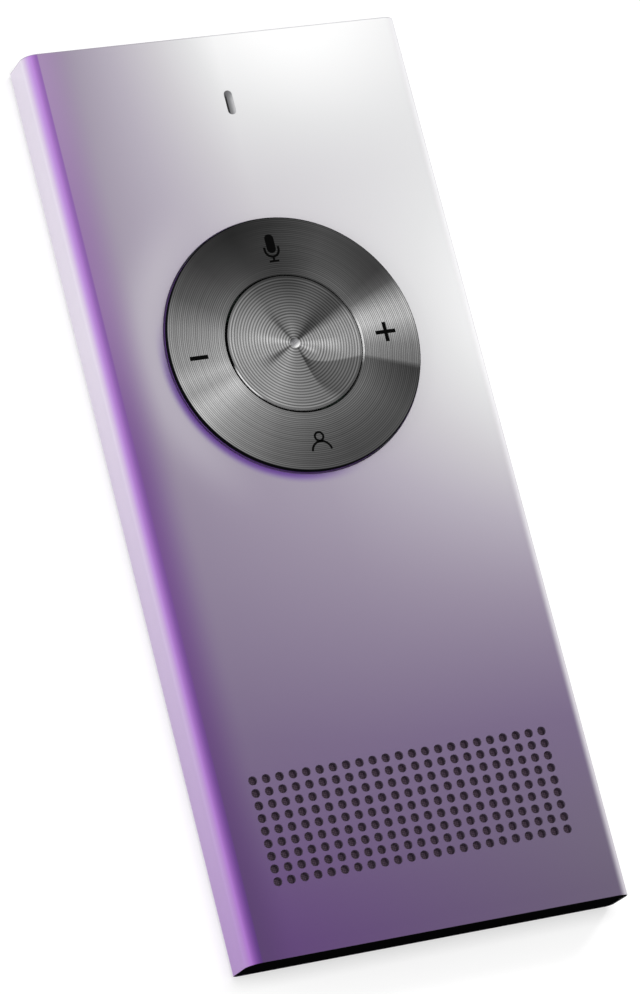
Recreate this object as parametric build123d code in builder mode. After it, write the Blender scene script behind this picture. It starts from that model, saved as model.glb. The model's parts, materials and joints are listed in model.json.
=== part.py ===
"""A handheld translator, built round an extruded aluminium sleeve.

X is the width, Y runs along the length towards the microphone end, and Z points out of the front face.
The origin is the middle of the back face. A rocking control ring with a press button in its middle stands
proud of the front, a light slot is near the microphone end and a drilled loudspeaker grille near the foot.
"""

from build123d import *
import os
from math import radians, sin, sqrt, tan

os.makedirs("parts", exist_ok=True)

# ---------------------------------------------------------------- casing
body_length = 126.0
body_width = 55.0
body_thickness = 7.2
front_edge_radius = 1.95
back_edge_radius = 1.05
sleeve_wall = 0.9
mouth_lip = 0.45  # sleeve wall left round each end cap
mouth_depth = 1.2  # how far an end cap's plate sits in the sleeve
spigot_wall = 1.0
spigot_length = 1.0
fit_gap = 0.05  # between pieces that are seated in one another
slide_gap = 0.1  # between the sleeve and what slides into it

# ---------------------------------------------------------------- control ring and centre button
ring_from_top = 45.05  # from the microphone end to the ring's centre
ring_radius = 17.95
ring_proud = 0.85
button_radius = 9.56
button_gap = 0.15
opening_gap = 0.2
cap_thickness = 0.35
cap_chamfer = 0.12
dimple_radius = 0.7
dimple_depth = 0.22
rim_plate = 0.8
rim_wall = 1.0
carrier_thickness = 0.45
carrier_overlap = 0.75  # how far the carrier reaches under the sleeve
frame_clearance = 0.7  # between the carrier's rim and the key frame round it
tilt_degrees = 0.8  # each way, for both tilts of the ring
tilt_room = 0.06  # left over when both tilts are at their limits
press_travel = 0.25  # of the centre button
nub_reach = 14.0  # from the ring's centre to the middle of each nub
nub_length = 2.6
nub_width = 3.6
peg_radius = 0.8
washer_thickness = 0.3
washer_width = 1.1
washer_gap = 0.4
tab_width = 2.2
tab_seat = 1.2
guide_wall = 0.6
guide_lip = 0.8
guide_lip_height = 0.5
guide_room = 0.1
claw_reach = 0.4
claw_height = 0.5
claw_slot = 1.2
shaft_radius = 6.95
shaft_wall = 1.05
post_radius = 1.2
dome_radius = 2.5
dome_shoulder = 0.64  # where a dome's slope changes, as a share of its radius and height
dome_sheet = 0.1
touch_gap = 0.02
dome_height = press_travel + dome_sheet  # a dome flattens onto the board at full travel

# ---------------------------------------------------------------- light slot and loudspeaker grille
slot_from_top = 9.9
slot_length = 3.5
slot_width = 1.15
slot_recess = 0.35
guide_flange = 0.7
guide_flange_height = 0.4
led_size = (1.2, 2.4, 0.6)
grille_from_foot = 16.7
grille_columns = 23
grille_rows = 9
grille_pitch_x = 1.894
grille_pitch_y = 1.691
grille_hole_radius = 0.6
grille_hole_sides = 8  # few sides, so that the many holes keep the face count low

# ---------------------------------------------------------------- inside
chassis_floor = 0.45
rail_width = 1.2
rail_height = 3.9
cell_rib = 0.8  # ribs that stop the cell
cell_rib_margin = 1.0
under_board = 1.65
board_thickness = 0.8
board_end_gap = 0.4
board_corner = 1.2
screw_radius = 0.7
screw_head_radius = 1.25
screw_head_height = 0.5
screw_bite = 1.2
boss_wall = 0.85
frame_edge = 2.5
front_bevel = 0.6
frame_screw_inset = 2.7
board_screws_below_slot = 4.1
cell_width = 42.0
cell_end_gap = 1.8  # between the cell and the loudspeaker
cell_thickness = 3.6
lead_bay = 7.0  # between the board and the cell
cell_fillet = 0.9
terrace_length = 3.8
terrace_height = 0.9
terrace_margin = 1.8
tape_thickness = 0.12
tape_margin = 2.5
foam_margin = 3.0
safety_board_size = (28.0, 3.6, 0.6)
foam_width = 5.0
lead_diameter = 0.7
lead_sides = 6
lead_straight = 1.5  # of a battery lead, beside each end
lead_side_step = 1.2  # from the safety board to the plug
plug_inset = 1.0  # from the board's edge
plug_size = (3.4, 3.6, 1.3)
battery_plug_x = 8.0
speaker_plug_x = 16.2
lead_pitch = 1.2
port_width = 8.94
port_height = 3.16
port_depth = 7.3
port_wall = 0.3
port_recess = 0.3
port_clearance = 0.08
tongue_size = (6.7, 4.6, 0.7)
sound_hole_radius = 0.5
microphone_inset = 13.5  # from the right side
microphone_size = (3.5, 2.7, 1.0)
boot_wall = 0.2
hook_inset = 12.5  # from either side
hook_width = 4.0
hook_length = 4.6
hook_height = 0.8
barb_length = 1.0
antenna_size = (15.0, 0.4, 2.2)
antenna_inset = 12.5  # from the left side

# ---------------------------------------------------------------- chips, placed from the ring's centre
processor_size = (12.0, 12.0, 1.1)
processor_place = (-8.0, 4.0)
memory_size = (11.5, 9.0, 0.9)
memory_place = (8.0, 4.0)
power_chip_size = (5.0, 5.0, 0.8)
power_chip_place = (-10.0, -12.0)
audio_chip_size = (4.0, 4.0, 0.8)
audio_chip_place = (10.0, -10.0)
power_coil_size = (4.0, 4.0, 1.3)
power_coil_place = (-17.0, -12.0)
radio_chip_size = (6.0, 6.0, 0.8)
shield_size = (12.0, 9.0, 1.4)
shield_wall = 0.15
shield_corner = 0.6
chip_bevel = 0.1
pad_margin = 0.5

# ---------------------------------------------------------------- loudspeaker
speaker_end_gap = 1.2  # between the loudspeaker's ears and the rails
speaker_width = 16.6
mesh_thickness = 0.15
mesh_margin = 1.0
gasket_thickness = 0.6
gasket_wall = 1.2
basket_height = 2.9
basket_wall = 0.8
ear_reach = 2.6
ear_height = 0.8
cone_thickness = 0.2
roll_radius = 0.55
coil_radius = 5.2
coil_wall = 0.3
coil_height = 1.2
magnet_radius = 4.6
yoke_wall = 0.8
yoke_base = 0.6
pole_thickness = 0.5
pole_gap = 0.3
terminal_width = 5.6
terminal_depth = 2.6
vent_length = 7.0
vent_width = 6.0
vent_gap = 2.0  # between a rear vent and the yoke
roll_slope = 60

# ---------------------------------------------------------------- levels and places that follow
half_length = body_length / 2
half_width = body_width / 2
ring_centre_y = half_length - ring_from_top
slot_centre_y = half_length - slot_from_top
grille_centre_y = grille_from_foot - half_length
back_inside = sleeve_wall
front_inside = body_thickness - sleeve_wall
disc_top = body_thickness + ring_proud
cap_underside = disc_top - cap_thickness
rim_underside = cap_underside - rim_plate
ring_inner = button_radius + button_gap
carrier_radius = ring_radius + carrier_overlap
tilt = radians(tilt_degrees)
carrier_top = front_inside - carrier_radius * sqrt(2) * sin(tilt) - tilt_room
carrier_bottom = carrier_top - carrier_thickness
floor_top = back_inside + chassis_floor
board_underside = floor_top + under_board
board_face = board_underside + board_thickness
nub_bottom = board_face + dome_height + touch_gap
nub_outer = nub_reach + nub_length / 2
nub_inner = nub_reach - nub_length / 2
washer_top = carrier_bottom - carrier_radius * sin(tilt) - 2 * fit_gap
washer_bottom = washer_top - washer_thickness
washer_inner = nub_outer + washer_gap
washer_outer = washer_inner + washer_width
frame_opening = carrier_radius + frame_clearance
frame_half_width = half_width - sleeve_wall - slide_gap - rail_width - slide_gap
frame_half_length = frame_opening + frame_edge
mouth_face = half_length - mouth_depth
chassis_half_length = mouth_face - spigot_length - slide_gap
chassis_half_width = half_width - sleeve_wall - slide_gap
frame_screw_x = frame_half_width - frame_screw_inset
frame_screw_dy = frame_half_length - frame_screw_inset
frame_screws = [
    (side * frame_screw_x, ring_centre_y + end * frame_screw_dy)
    for side in (-1, 1)
    for end in (-1, 1)
]
board_top_y = mouth_face - spigot_length - board_end_gap
board_bottom_y = ring_centre_y - frame_half_length
board_screw_y = slot_centre_y - board_screws_below_slot
board_screw_points = [(side * frame_screw_x, board_screw_y) for side in (-1, 1)]
port_level = board_underside + board_thickness / 2
port_mouth = half_length - port_recess
lead_level = board_underside - plug_size[2] / 2
speaker_half = half_width - sleeve_wall - slide_gap - rail_width - speaker_end_gap - ear_reach
speaker_length = 2 * speaker_half
basket_top = front_inside - mesh_thickness - gasket_thickness
basket_bottom = basket_top - basket_height
cone_level = basket_top - roll_radius - cone_thickness
yoke_outer = coil_radius + coil_wall + pole_gap + yoke_wall
ear_screw_x = speaker_half + ear_reach / 2
speaker_edge_y = grille_centre_y + speaker_width / 2
cell_top_y = board_bottom_y - lead_bay
cell_bottom_y = speaker_edge_y + cell_end_gap
cell_length = cell_top_y - cell_bottom_y
lead_channel_x = (cell_width / 2 + frame_half_width + slide_gap) / 2
microphone_x = half_width - microphone_inset
hook_x = half_width - hook_inset
antenna_x = antenna_inset - half_width


# ---------------------------------------------------------------- shared shapes
def crosswise(y):
    """The plane across the casing at this y. Its local x is X and its local y is Z."""
    return Plane.XZ.offset(-y)


def casing_section(inset, y=0.0):
    """The casing's cross-section at this y, every side moved inwards by inset."""
    with BuildSketch(crosswise(y)) as section:
        with Locations((0, body_thickness / 2)):
            Rectangle(body_width - 2 * inset, body_thickness - 2 * inset)
        rows = section.vertices().group_by(Axis.Y)
        fillet(rows[-1], max(front_edge_radius - inset, fit_gap))
        fillet(section.vertices().group_by(Axis.Y)[0], max(back_edge_radius - inset, fit_gap))
    return section.sketch


def racetrack(length, width, level, y=0.0):
    """A slot shape lying in the plane at this level, centred at this y."""
    with BuildSketch(Plane.XY.offset(level)) as shape:
        with Locations((0, y)):
            SlotOverall(length, width)
    return shape.sketch


def block(size, low_level, centre):
    """A plain block that stands on a level."""
    with BuildPart() as piece:
        with BuildSketch(Plane.XY.offset(low_level)):
            with Locations(centre):
                Rectangle(size[0], size[1])
        extrude(amount=size[2])
    return piece


def from_ring(place):
    """A place given from the ring's centre, as a place on the board."""
    return (place[0], ring_centre_y + place[1])


def chip(size, face_level, centre, below=True):
    """A chip package on a board face, hanging below it or standing on it, with its free edges bevelled."""
    low_level = face_level - size[2] if below else face_level
    with BuildPart() as piece:
        with BuildSketch(Plane.XY.offset(low_level)):
            with Locations(centre):
                Rectangle(size[0], size[1])
        extrude(amount=size[2])
        free_face = piece.faces().sort_by(Axis.Z)[0 if below else -1]
        chamfer(free_face.edges(), chip_bevel)
    return piece


def arc_radii(route):
    """One radius for each corner of a route: as large as the two runs beside it leave room for."""
    radii = []
    points = [Vector(*point) for point in route]
    for before, corner, after in zip(points, points[1:], points[2:]):
        half_turn = radians((corner - before).get_angle(after - corner)) / 2
        shorter = min((corner - before).length, (after - corner).length)
        radii.append(0.45 * shorter / tan(half_turn))
    return radii


def lead(route):
    """An insulated lead along straight runs joined by tangent arcs. Its section has few sides."""
    with BuildPart() as piece:
        with BuildLine() as path:
            FilletPolyline(*route, radius=arc_radii(route))
        with BuildSketch(Plane(origin=path.line @ 0, z_dir=path.line % 0)):
            RegularPolygon(lead_diameter / 2, lead_sides)
        sweep(path=path.line)
    return piece


def turned(profile, centre_y=ring_centre_y):
    """A piece turned about the upright axis through x 0 and this y. The profile is radius and level pairs."""
    with BuildPart() as piece:
        with BuildSketch(Plane.XZ.offset(-centre_y)):
            with BuildLine():
                Polyline(*profile, close=True)
            make_face()
        revolve(axis=Axis((0, centre_y, 0), (0, 0, 1)), revolution_arc=360)
    return piece


def screws(points, head_seat, tip_level):
    """Pan-head screws, one at each point, as separate solids."""
    with BuildPart() as group:
        for x, y in points:
            with BuildSketch(Plane.XY.offset(tip_level)):
                with Locations((x, y)):
                    Circle(screw_radius)
            extrude(amount=head_seat - tip_level)
            with BuildSketch(Plane.XY.offset(head_seat)):
                with Locations((x, y)):
                    Circle(screw_head_radius)
            extrude(amount=screw_head_height)
    return group


# ================================================================ sleeve and end caps
with BuildPart() as sleeve:
    extrude(casing_section(0), amount=half_length, both=True)
    extrude(casing_section(sleeve_wall), amount=half_length, both=True, mode=Mode.SUBTRACT)
    for end in (-1, 1):
        mouth = casing_section(mouth_lip, end * mouth_face)
        extrude(mouth, amount=-end * mouth_depth, mode=Mode.SUBTRACT)
    with BuildSketch(Plane.XY.offset(front_inside)):
        with Locations((0, ring_centre_y)):
            Circle(ring_radius + opening_gap)
        with Locations((0, slot_centre_y)):
            SlotOverall(slot_length, slot_width, rotation=90)
        with Locations((0, grille_centre_y)):
            with GridLocations(grille_pitch_x, grille_pitch_y, grille_columns, grille_rows):
                RegularPolygon(grille_hole_radius, grille_hole_sides)
    extrude(amount=sleeve_wall, mode=Mode.SUBTRACT)
sleeve.part.label = "sleeve"
export_step(sleeve.part, "parts/sleeve.step")


def end_cap(end):
    """A moulded cap for one end: a plate in the mouth, a hollow spigot and two hooks for the chassis."""
    outer = sleeve_wall + slide_gap
    hook_tip = mouth_face - hook_length
    hook_y = end * (mouth_face + hook_tip) / 2
    with BuildPart() as cap:
        extrude(casing_section(mouth_lip + fit_gap, end * mouth_face), amount=-end * mouth_depth)
        extrude(casing_section(outer, end * mouth_face), amount=end * spigot_length)
        hollow = casing_section(outer + spigot_wall, end * mouth_face)
        extrude(hollow, amount=end * spigot_length, mode=Mode.SUBTRACT)
        with BuildSketch(Plane.XY.offset(floor_top)):
            with Locations((-hook_x, hook_y), (hook_x, hook_y)):
                Rectangle(hook_width, hook_length)
        extrude(amount=hook_height)
        barb_y = end * (hook_tip + barb_length / 2)
        with BuildSketch(Plane.XY.offset(back_inside + fit_gap)):
            with Locations((-hook_x, barb_y), (hook_x, barb_y)):
                Rectangle(hook_width, barb_length)
        extrude(amount=chassis_floor - fit_gap)
    return cap


bottom_cap = end_cap(-1)
bottom_cap.part.label = "bottom_cap"
export_step(bottom_cap.part, "parts/bottom_cap.step")

microphone_y = board_top_y - microphone_size[1]
boot_low = board_face + microphone_size[2]
boot_height = 2 * (sound_hole_radius + boot_wall)
sound_level = boot_low + boot_height / 2

with BuildPart() as top_cap:
    add(end_cap(1).part)
    with BuildSketch(crosswise(half_length)):
        with Locations((0, port_level)):
            SlotOverall(port_width + 2 * port_clearance, port_height + 2 * port_clearance)
        with Locations((microphone_x, sound_level)):
            Circle(sound_hole_radius)
    extrude(amount=mouth_depth + spigot_length, mode=Mode.SUBTRACT)
    # a notch in the spigot for the microphone's boot
    with BuildSketch(crosswise(mouth_face)):
        with Locations((microphone_x, boot_low + boot_height / 2)):
            Rectangle(microphone_size[0] + 2 * fit_gap, boot_height + 2 * fit_gap)
    extrude(amount=spigot_length, mode=Mode.SUBTRACT)
top_cap.part.label = "top_cap"
export_step(top_cap.part, "parts/top_cap.step")

# ================================================================ chassis
with BuildPart() as chassis:
    with BuildSketch(Plane.XY.offset(back_inside)):
        Rectangle(2 * chassis_half_width, 2 * chassis_half_length)
    extrude(amount=chassis_floor)
    # the two long back edges clear the sleeve's inner corners
    chamfer(chassis.edges().filter_by(Axis.Y).group_by(Axis.Z)[0], chassis_floor / 2)
    with BuildSketch(Plane.XY.offset(floor_top)):
        rail_middle = chassis_half_width - rail_width / 2
        with Locations((-rail_middle, 0), (rail_middle, 0)):
            Rectangle(rail_width, 2 * chassis_half_length)
    extrude(amount=rail_height)
    # ribs that stop the cell, one above it and one below it
    with BuildSketch(Plane.XY.offset(floor_top)):
        with Locations((0, cell_bottom_y - fit_gap - cell_rib / 2)):
            Rectangle(cell_width - 2 * cell_rib_margin, cell_rib)
        with Locations((-cell_width / 4, cell_top_y + terrace_length + fit_gap + cell_rib / 2)):
            Rectangle(cell_width / 3, cell_rib)
    extrude(amount=under_board)
    # bosses under the board
    with BuildSketch(Plane.XY.offset(floor_top)):
        with Locations(*frame_screws, *board_screw_points):
            Circle(screw_radius + boss_wall)
    extrude(amount=under_board)
    # bosses under the loudspeaker's ears
    with BuildSketch(Plane.XY.offset(floor_top)):
        with Locations((-ear_screw_x, grille_centre_y), (ear_screw_x, grille_centre_y)):
            Circle(screw_radius + boss_wall)
    extrude(amount=basket_bottom - floor_top)
    # screw bores
    with BuildSketch(Plane.XY.offset(back_inside)):
        with Locations(*frame_screws, *board_screw_points):
            Circle(screw_radius + fit_gap)
        with Locations((-ear_screw_x, grille_centre_y), (ear_screw_x, grille_centre_y)):
            Circle(screw_radius + fit_gap)
    extrude(amount=chassis_floor + rail_height, mode=Mode.SUBTRACT)
    # windows that the end caps' barbs drop into
    window_y = mouth_face - hook_length + barb_length / 2
    with BuildSketch(Plane.XY.offset(back_inside)):
        with GridLocations(2 * hook_x, 2 * window_y, 2, 2):
            Rectangle(hook_width + 2 * slide_gap, barb_length + 2 * slide_gap)
    extrude(amount=chassis_floor, mode=Mode.SUBTRACT)
chassis.part.label = "chassis"
export_step(chassis.part, "parts/chassis.step")

# ================================================================ boards
with BuildPart() as main_board:
    board_length = board_top_y - board_bottom_y
    board_middle = (board_top_y + board_bottom_y) / 2
    with BuildSketch(Plane.XY.offset(board_underside)):
        with Locations((0, board_middle)):
            RectangleRounded(2 * frame_half_width, board_length, board_corner)
        with Locations(*frame_screws, *board_screw_points):
            Circle(screw_radius + fit_gap, mode=Mode.SUBTRACT)
        notch_low = port_mouth - port_depth - fit_gap
        with Locations((0, (notch_low + board_top_y) / 2)):
            Rectangle(port_width + 2 * fit_gap, board_top_y - notch_low, mode=Mode.SUBTRACT)
    extrude(amount=board_thickness)
main_board.part.label = "main_board"
export_step(main_board.part, "parts/main_board.step")

processor = chip(processor_size, board_underside, from_ring(processor_place))
processor.part.label = "processor"
export_step(processor.part, "parts/processor.step")

pad_width = processor_size[0] - 2 * pad_margin
pad_height = under_board - processor_size[2]
thermal_pad = block((pad_width, pad_width, pad_height), floor_top, from_ring(processor_place))
thermal_pad.part.label = "thermal_pad"
export_step(thermal_pad.part, "parts/thermal_pad.step")

memory_chip = chip(memory_size, board_underside, from_ring(memory_place))
memory_chip.part.label = "memory_chip"
export_step(memory_chip.part, "parts/memory_chip.step")

power_chip = chip(power_chip_size, board_underside, from_ring(power_chip_place))
power_chip.part.label = "power_chip"
export_step(power_chip.part, "parts/power_chip.step")

audio_chip = chip(audio_chip_size, board_underside, from_ring(audio_chip_place))
audio_chip.part.label = "audio_chip"
export_step(audio_chip.part, "parts/audio_chip.step")

power_coil = chip(power_coil_size, board_underside, from_ring(power_coil_place))
power_coil.part.label = "power_coil"
export_step(power_coil.part, "parts/power_coil.step")

radio_centre = (-half_width / 2, board_screw_y)
radio_chip = chip(radio_chip_size, board_underside, radio_centre)
radio_chip.part.label = "radio_chip"
export_step(radio_chip.part, "parts/radio_chip.step")

with BuildPart() as radio_shield:
    shield_low = board_underside - shield_size[2]
    with BuildSketch(Plane.XY.offset(shield_low)):
        with Locations(radio_centre):
            RectangleRounded(shield_size[0], shield_size[1], shield_corner)
    extrude(amount=shield_size[2])
    with BuildSketch(Plane.XY.offset(shield_low + shield_wall)):
        with Locations(radio_centre):
            Rectangle(shield_size[0] - 2 * shield_wall, shield_size[1] - 2 * shield_wall)
    extrude(amount=shield_size[2] - shield_wall, mode=Mode.SUBTRACT)
radio_shield.part.label = "radio_shield"
export_step(radio_shield.part, "parts/radio_shield.step")

antenna = block(antenna_size, port_level - antenna_size[2] / 2, (antenna_x, mouth_face - antenna_size[1] / 2))
antenna.part.label = "antenna"
export_step(antenna.part, "parts/antenna.step")

# ================================================================ charging port
with BuildPart() as port_shell:
    with BuildSketch(crosswise(port_mouth)):
        with Locations((0, port_level)):
            SlotOverall(port_width, port_height)
    extrude(amount=port_depth)
    with BuildSketch(crosswise(port_mouth)):
        with Locations((0, port_level)):
            SlotOverall(port_width - 2 * port_wall, port_height - 2 * port_wall)
    extrude(amount=port_depth - port_wall, mode=Mode.SUBTRACT)
port_shell.part.label = "port_shell"
export_step(port_shell.part, "parts/port_shell.step")

with BuildPart() as port_tongue:
    # a moulded base that fills the shell's rear, and the blade that the plug slides over
    base_depth = 1.4
    rear = port_mouth - port_depth + port_wall
    with BuildSketch(crosswise(rear + base_depth)):
        with Locations((0, port_level)):
            SlotOverall(port_width - 2 * port_wall - 2 * fit_gap, port_height - 2 * port_wall - 2 * fit_gap)
    extrude(amount=base_depth)
    with BuildSketch(crosswise(rear + base_depth + tongue_size[1])):
        with Locations((0, port_level)):
            Rectangle(tongue_size[0], tongue_size[2])
    extrude(amount=tongue_size[1])
port_tongue.part.label = "port_tongue"
export_step(port_tongue.part, "parts/port_tongue.step")

# ================================================================ microphone
microphone = chip(microphone_size, board_face, (microphone_x, microphone_y), below=False)
microphone.part.label = "microphone"
export_step(microphone.part, "parts/microphone.step")

with BuildPart() as microphone_boot:
    # a rubber block that leads sound from the cap's hole down to the microphone
    boot_back = microphone_y - microphone_size[1] / 2
    with BuildSketch(Plane.XY.offset(boot_low)):
        with Locations((microphone_x, (boot_back + mouth_face) / 2)):
            Rectangle(microphone_size[0], mouth_face - boot_back)
    extrude(amount=boot_height)
    with BuildSketch(crosswise(mouth_face)):
        with Locations((microphone_x, sound_level)):
            Circle(sound_hole_radius)
    extrude(amount=mouth_face - microphone_y, mode=Mode.SUBTRACT)
    with BuildSketch(Plane.XY.offset(boot_low)):
        with Locations((microphone_x, microphone_y)):
            Circle(sound_hole_radius)
    extrude(amount=sound_level - boot_low, mode=Mode.SUBTRACT)
microphone_boot.part.label = "microphone_boot"
export_step(microphone_boot.part, "parts/microphone_boot.step")

# ================================================================ light slot
indicator_led = block(led_size, board_face, (0, slot_centre_y))
indicator_led.part.label = "indicator_led"
export_step(indicator_led.part, "parts/indicator_led.step")

with BuildPart() as light_guide:
    leg_low = board_face + led_size[2] + touch_gap
    flange_low = front_inside - guide_flange_height
    with BuildSketch(Plane.XY.offset(leg_low)):
        with Locations((0, slot_centre_y)):
            SlotOverall(slot_length - 2 * fit_gap, slot_width - 2 * fit_gap, rotation=90)
    extrude(amount=body_thickness - slot_recess - leg_low)
    with BuildSketch(Plane.XY.offset(flange_low)):
        with Locations((0, slot_centre_y)):
            SlotOverall(slot_length + 2 * guide_flange, slot_width + 2 * guide_flange, rotation=90)
    extrude(amount=guide_flange_height)
light_guide.part.label = "light_guide"
export_step(light_guide.part, "parts/light_guide.step")

# ================================================================ domes under the ring and the button
def dome(points):
    """Snap domes: thin dished caps that stand on the board, one at each point."""
    shoulder_radius = dome_shoulder * dome_radius
    shoulder_height = dome_shoulder * dome_height
    profile = [
        (0, dome_height),
        (shoulder_radius, shoulder_height),
        (dome_radius, 0),
        (dome_radius - dome_sheet, 0),
        (shoulder_radius - dome_sheet, shoulder_height - dome_sheet),
        (0, dome_height - dome_sheet),
    ]
    with BuildPart() as group:
        for x, y in points:
            with BuildSketch(Plane((x, y, board_face), x_dir=(1, 0, 0), z_dir=(0, -1, 0))):
                with BuildLine():
                    Polyline(*profile, close=True)
                make_face()
            revolve(axis=Axis((x, y, board_face), (0, 0, 1)), revolution_arc=360)
    return group


centre_dome = dome([(0, ring_centre_y)])
centre_dome.part.label = "centre_dome"
export_step(centre_dome.part, "parts/centre_dome.step")

talk_domes = dome([(0, ring_centre_y - nub_reach), (0, ring_centre_y + nub_reach)])
talk_domes.part.label = "talk_domes"
export_step(talk_domes.part, "parts/talk_domes.step")

volume_domes = dome([(-nub_reach, ring_centre_y), (nub_reach, ring_centre_y)])
volume_domes.part.label = "volume_domes"
export_step(volume_domes.part, "parts/volume_domes.step")

# ================================================================ key frame and button guide
with BuildPart() as key_frame:
    with BuildSketch(Plane.XY.offset(board_face)):
        with Locations((0, ring_centre_y)):
            RectangleRounded(2 * frame_half_width, 2 * frame_half_length, board_corner)
    extrude(amount=front_inside - board_face)
    # the sleeve's rounded inner edges run past the frame's two long sides
    front_sides = key_frame.edges().filter_by(Axis.Y).group_by(Axis.Z)[-1]
    chamfer(front_sides, front_bevel)
    with BuildSketch(Plane.XY.offset(board_face)):
        with Locations((0, ring_centre_y)):
            Circle(frame_opening)
    extrude(amount=front_inside - board_face, mode=Mode.SUBTRACT)
    # two slots that carry the gimbal's outer tabs
    with BuildSketch(Plane.XY.offset(washer_bottom - fit_gap)):
        with Locations((0, ring_centre_y)):
            Rectangle(tab_width + 2 * slide_gap, 2 * (frame_opening + tab_seat + slide_gap))
    extrude(amount=washer_thickness + 2 * fit_gap, mode=Mode.SUBTRACT)
    # screw holes with sunk seats for the heads
    head_seat = front_inside - screw_head_height - fit_gap
    with BuildSketch(Plane.XY.offset(board_face)):
        with Locations(*frame_screws):
            Circle(screw_radius + fit_gap)
    extrude(amount=front_inside - board_face, mode=Mode.SUBTRACT)
    with BuildSketch(Plane.XY.offset(head_seat)):
        with Locations(*frame_screws):
            Circle(screw_head_radius + fit_gap)
    extrude(amount=front_inside - head_seat, mode=Mode.SUBTRACT)
key_frame.part.label = "key_frame"
export_step(key_frame.part, "parts/key_frame.step")

guide_bore = shaft_radius + claw_reach + guide_room
guide_outer = guide_bore + guide_wall
guide_top = front_inside - slide_gap
lip_bottom = guide_top - guide_lip_height
lip_bore = shaft_radius + fit_gap
foot_height = 0.6
button_guide = turned(
    [
        (guide_bore, board_face),
        (guide_outer + guide_lip, board_face),
        (guide_outer + guide_lip, board_face + foot_height),
        (guide_outer, board_face + foot_height),
        (guide_outer, guide_top),
        (lip_bore, guide_top),
        (lip_bore, lip_bottom),
        (guide_bore, lip_bottom),
    ]
)
button_guide.part.label = "button_guide"
export_step(button_guide.part, "parts/button_guide.step")

# ================================================================ gimbal washer
with BuildPart() as gimbal_washer:
    inner_tab = washer_inner - tab_seat
    outer_tab = frame_opening + tab_seat
    with BuildSketch(Plane.XY.offset(washer_bottom)):
        with Locations((0, ring_centre_y)):
            Rectangle(tab_width, 2 * outer_tab)
            Circle(washer_outer)
            Circle(washer_inner, mode=Mode.SUBTRACT)
        tab_middle = (inner_tab + washer_inner + washer_width / 2) / 2
        tab_length = washer_inner + washer_width / 2 - inner_tab
        with Locations((-tab_middle, ring_centre_y), (tab_middle, ring_centre_y)):
            Rectangle(tab_length, tab_width)
    extrude(amount=washer_thickness)
gimbal_washer.part.label = "gimbal_washer"
export_step(gimbal_washer.part, "parts/gimbal_washer.step")

# ================================================================ control ring
with BuildPart() as ring_carrier:
    with BuildSketch(Plane.XY.offset(carrier_bottom)):
        with Locations((0, ring_centre_y)):
            Circle(carrier_radius)
            Circle(nub_inner, mode=Mode.SUBTRACT)
            with PolarLocations((nub_outer + ring_radius) / 2 - rim_wall / 2, 4, start_angle=45):
                Circle(peg_radius + fit_gap, mode=Mode.SUBTRACT)
    extrude(amount=carrier_thickness)
    with BuildSketch(Plane.XY.offset(nub_bottom)):
        with Locations((0, ring_centre_y)):
            with PolarLocations(nub_reach, 4):
                Rectangle(nub_length, nub_width)
    extrude(amount=carrier_bottom - nub_bottom)
    # slots in the two side nubs, which ride on the gimbal's inner tabs
    slot_inner = washer_inner - tab_seat - slide_gap
    slot_middle = (slot_inner + nub_outer) / 2
    with BuildSketch(Plane.XY.offset(washer_bottom - fit_gap)):
        with Locations((-slot_middle, ring_centre_y), (slot_middle, ring_centre_y)):
            Rectangle(nub_outer - slot_inner, tab_width + 2 * slide_gap)
    extrude(amount=washer_thickness + 2 * fit_gap, mode=Mode.SUBTRACT)
ring_carrier.part.label = "ring_carrier"
export_step(ring_carrier.part, "parts/ring_carrier.step")

with BuildPart() as ring_rim:
    add(
        turned(
            [
                (ring_inner, cap_underside),
                (ring_radius, cap_underside),
                (ring_radius, carrier_top),
                (ring_radius - rim_wall, carrier_top),
                (ring_radius - rim_wall, rim_underside),
                (nub_inner + 2 * rim_wall, rim_underside),
                (nub_inner + 2 * rim_wall, carrier_top),
                (nub_inner + rim_wall, carrier_top),
                (nub_inner + rim_wall, rim_underside),
                (ring_inner + rim_wall, rim_underside),
                (ring_inner + rim_wall, carrier_top),
                (ring_inner, carrier_top),
            ]
        ).part
    )
    with BuildSketch(Plane.XY.offset(carrier_bottom)):
        with Locations((0, ring_centre_y)):
            with PolarLocations((nub_outer + ring_radius) / 2 - rim_wall / 2, 4, start_angle=45):
                Circle(peg_radius)
    extrude(amount=rim_underside - carrier_bottom)
ring_rim.part.label = "ring_rim"
export_step(ring_rim.part, "parts/ring_rim.step")

ring_cap = turned(
    [
        (ring_inner, cap_underside),
        (ring_radius, cap_underside),
        (ring_radius, disc_top - cap_chamfer),
        (ring_radius - cap_chamfer, disc_top),
        (ring_inner + cap_chamfer, disc_top),
        (ring_inner, disc_top - cap_chamfer),
    ]
)
ring_cap.part.label = "ring_cap"
export_step(ring_cap.part, "parts/ring_cap.step")

# ================================================================ centre button
claw_top = lip_bottom - fit_gap
claw_bottom = claw_top - claw_height
claw_radius = shaft_radius + claw_reach
shaft_inner = shaft_radius - shaft_wall
with BuildPart() as button_plunger:
    add(
        turned(
            [
                (0, cap_underside),
                (button_radius - button_gap, cap_underside),
                (button_radius - button_gap, rim_underside),
                (shaft_radius, rim_underside),
                (shaft_radius, claw_top),
                (claw_radius, claw_top),
                (shaft_radius, claw_bottom),
                (shaft_inner, claw_bottom),
                (shaft_inner, rim_underside),
                (post_radius, rim_underside),
                (post_radius, nub_bottom),
                (0, nub_bottom),
            ]
        ).part
    )
    # slots that let the claws bend past the guide's lip
    with BuildSketch(Plane.XY.offset(claw_bottom)):
        with Locations((0, ring_centre_y)):
            with PolarLocations((shaft_inner + claw_radius) / 2, 4, start_angle=45):
                Rectangle(claw_radius - shaft_inner + 2 * slide_gap, claw_slot)
    extrude(amount=rim_underside - claw_bottom - claw_height / 2, mode=Mode.SUBTRACT)
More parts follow.
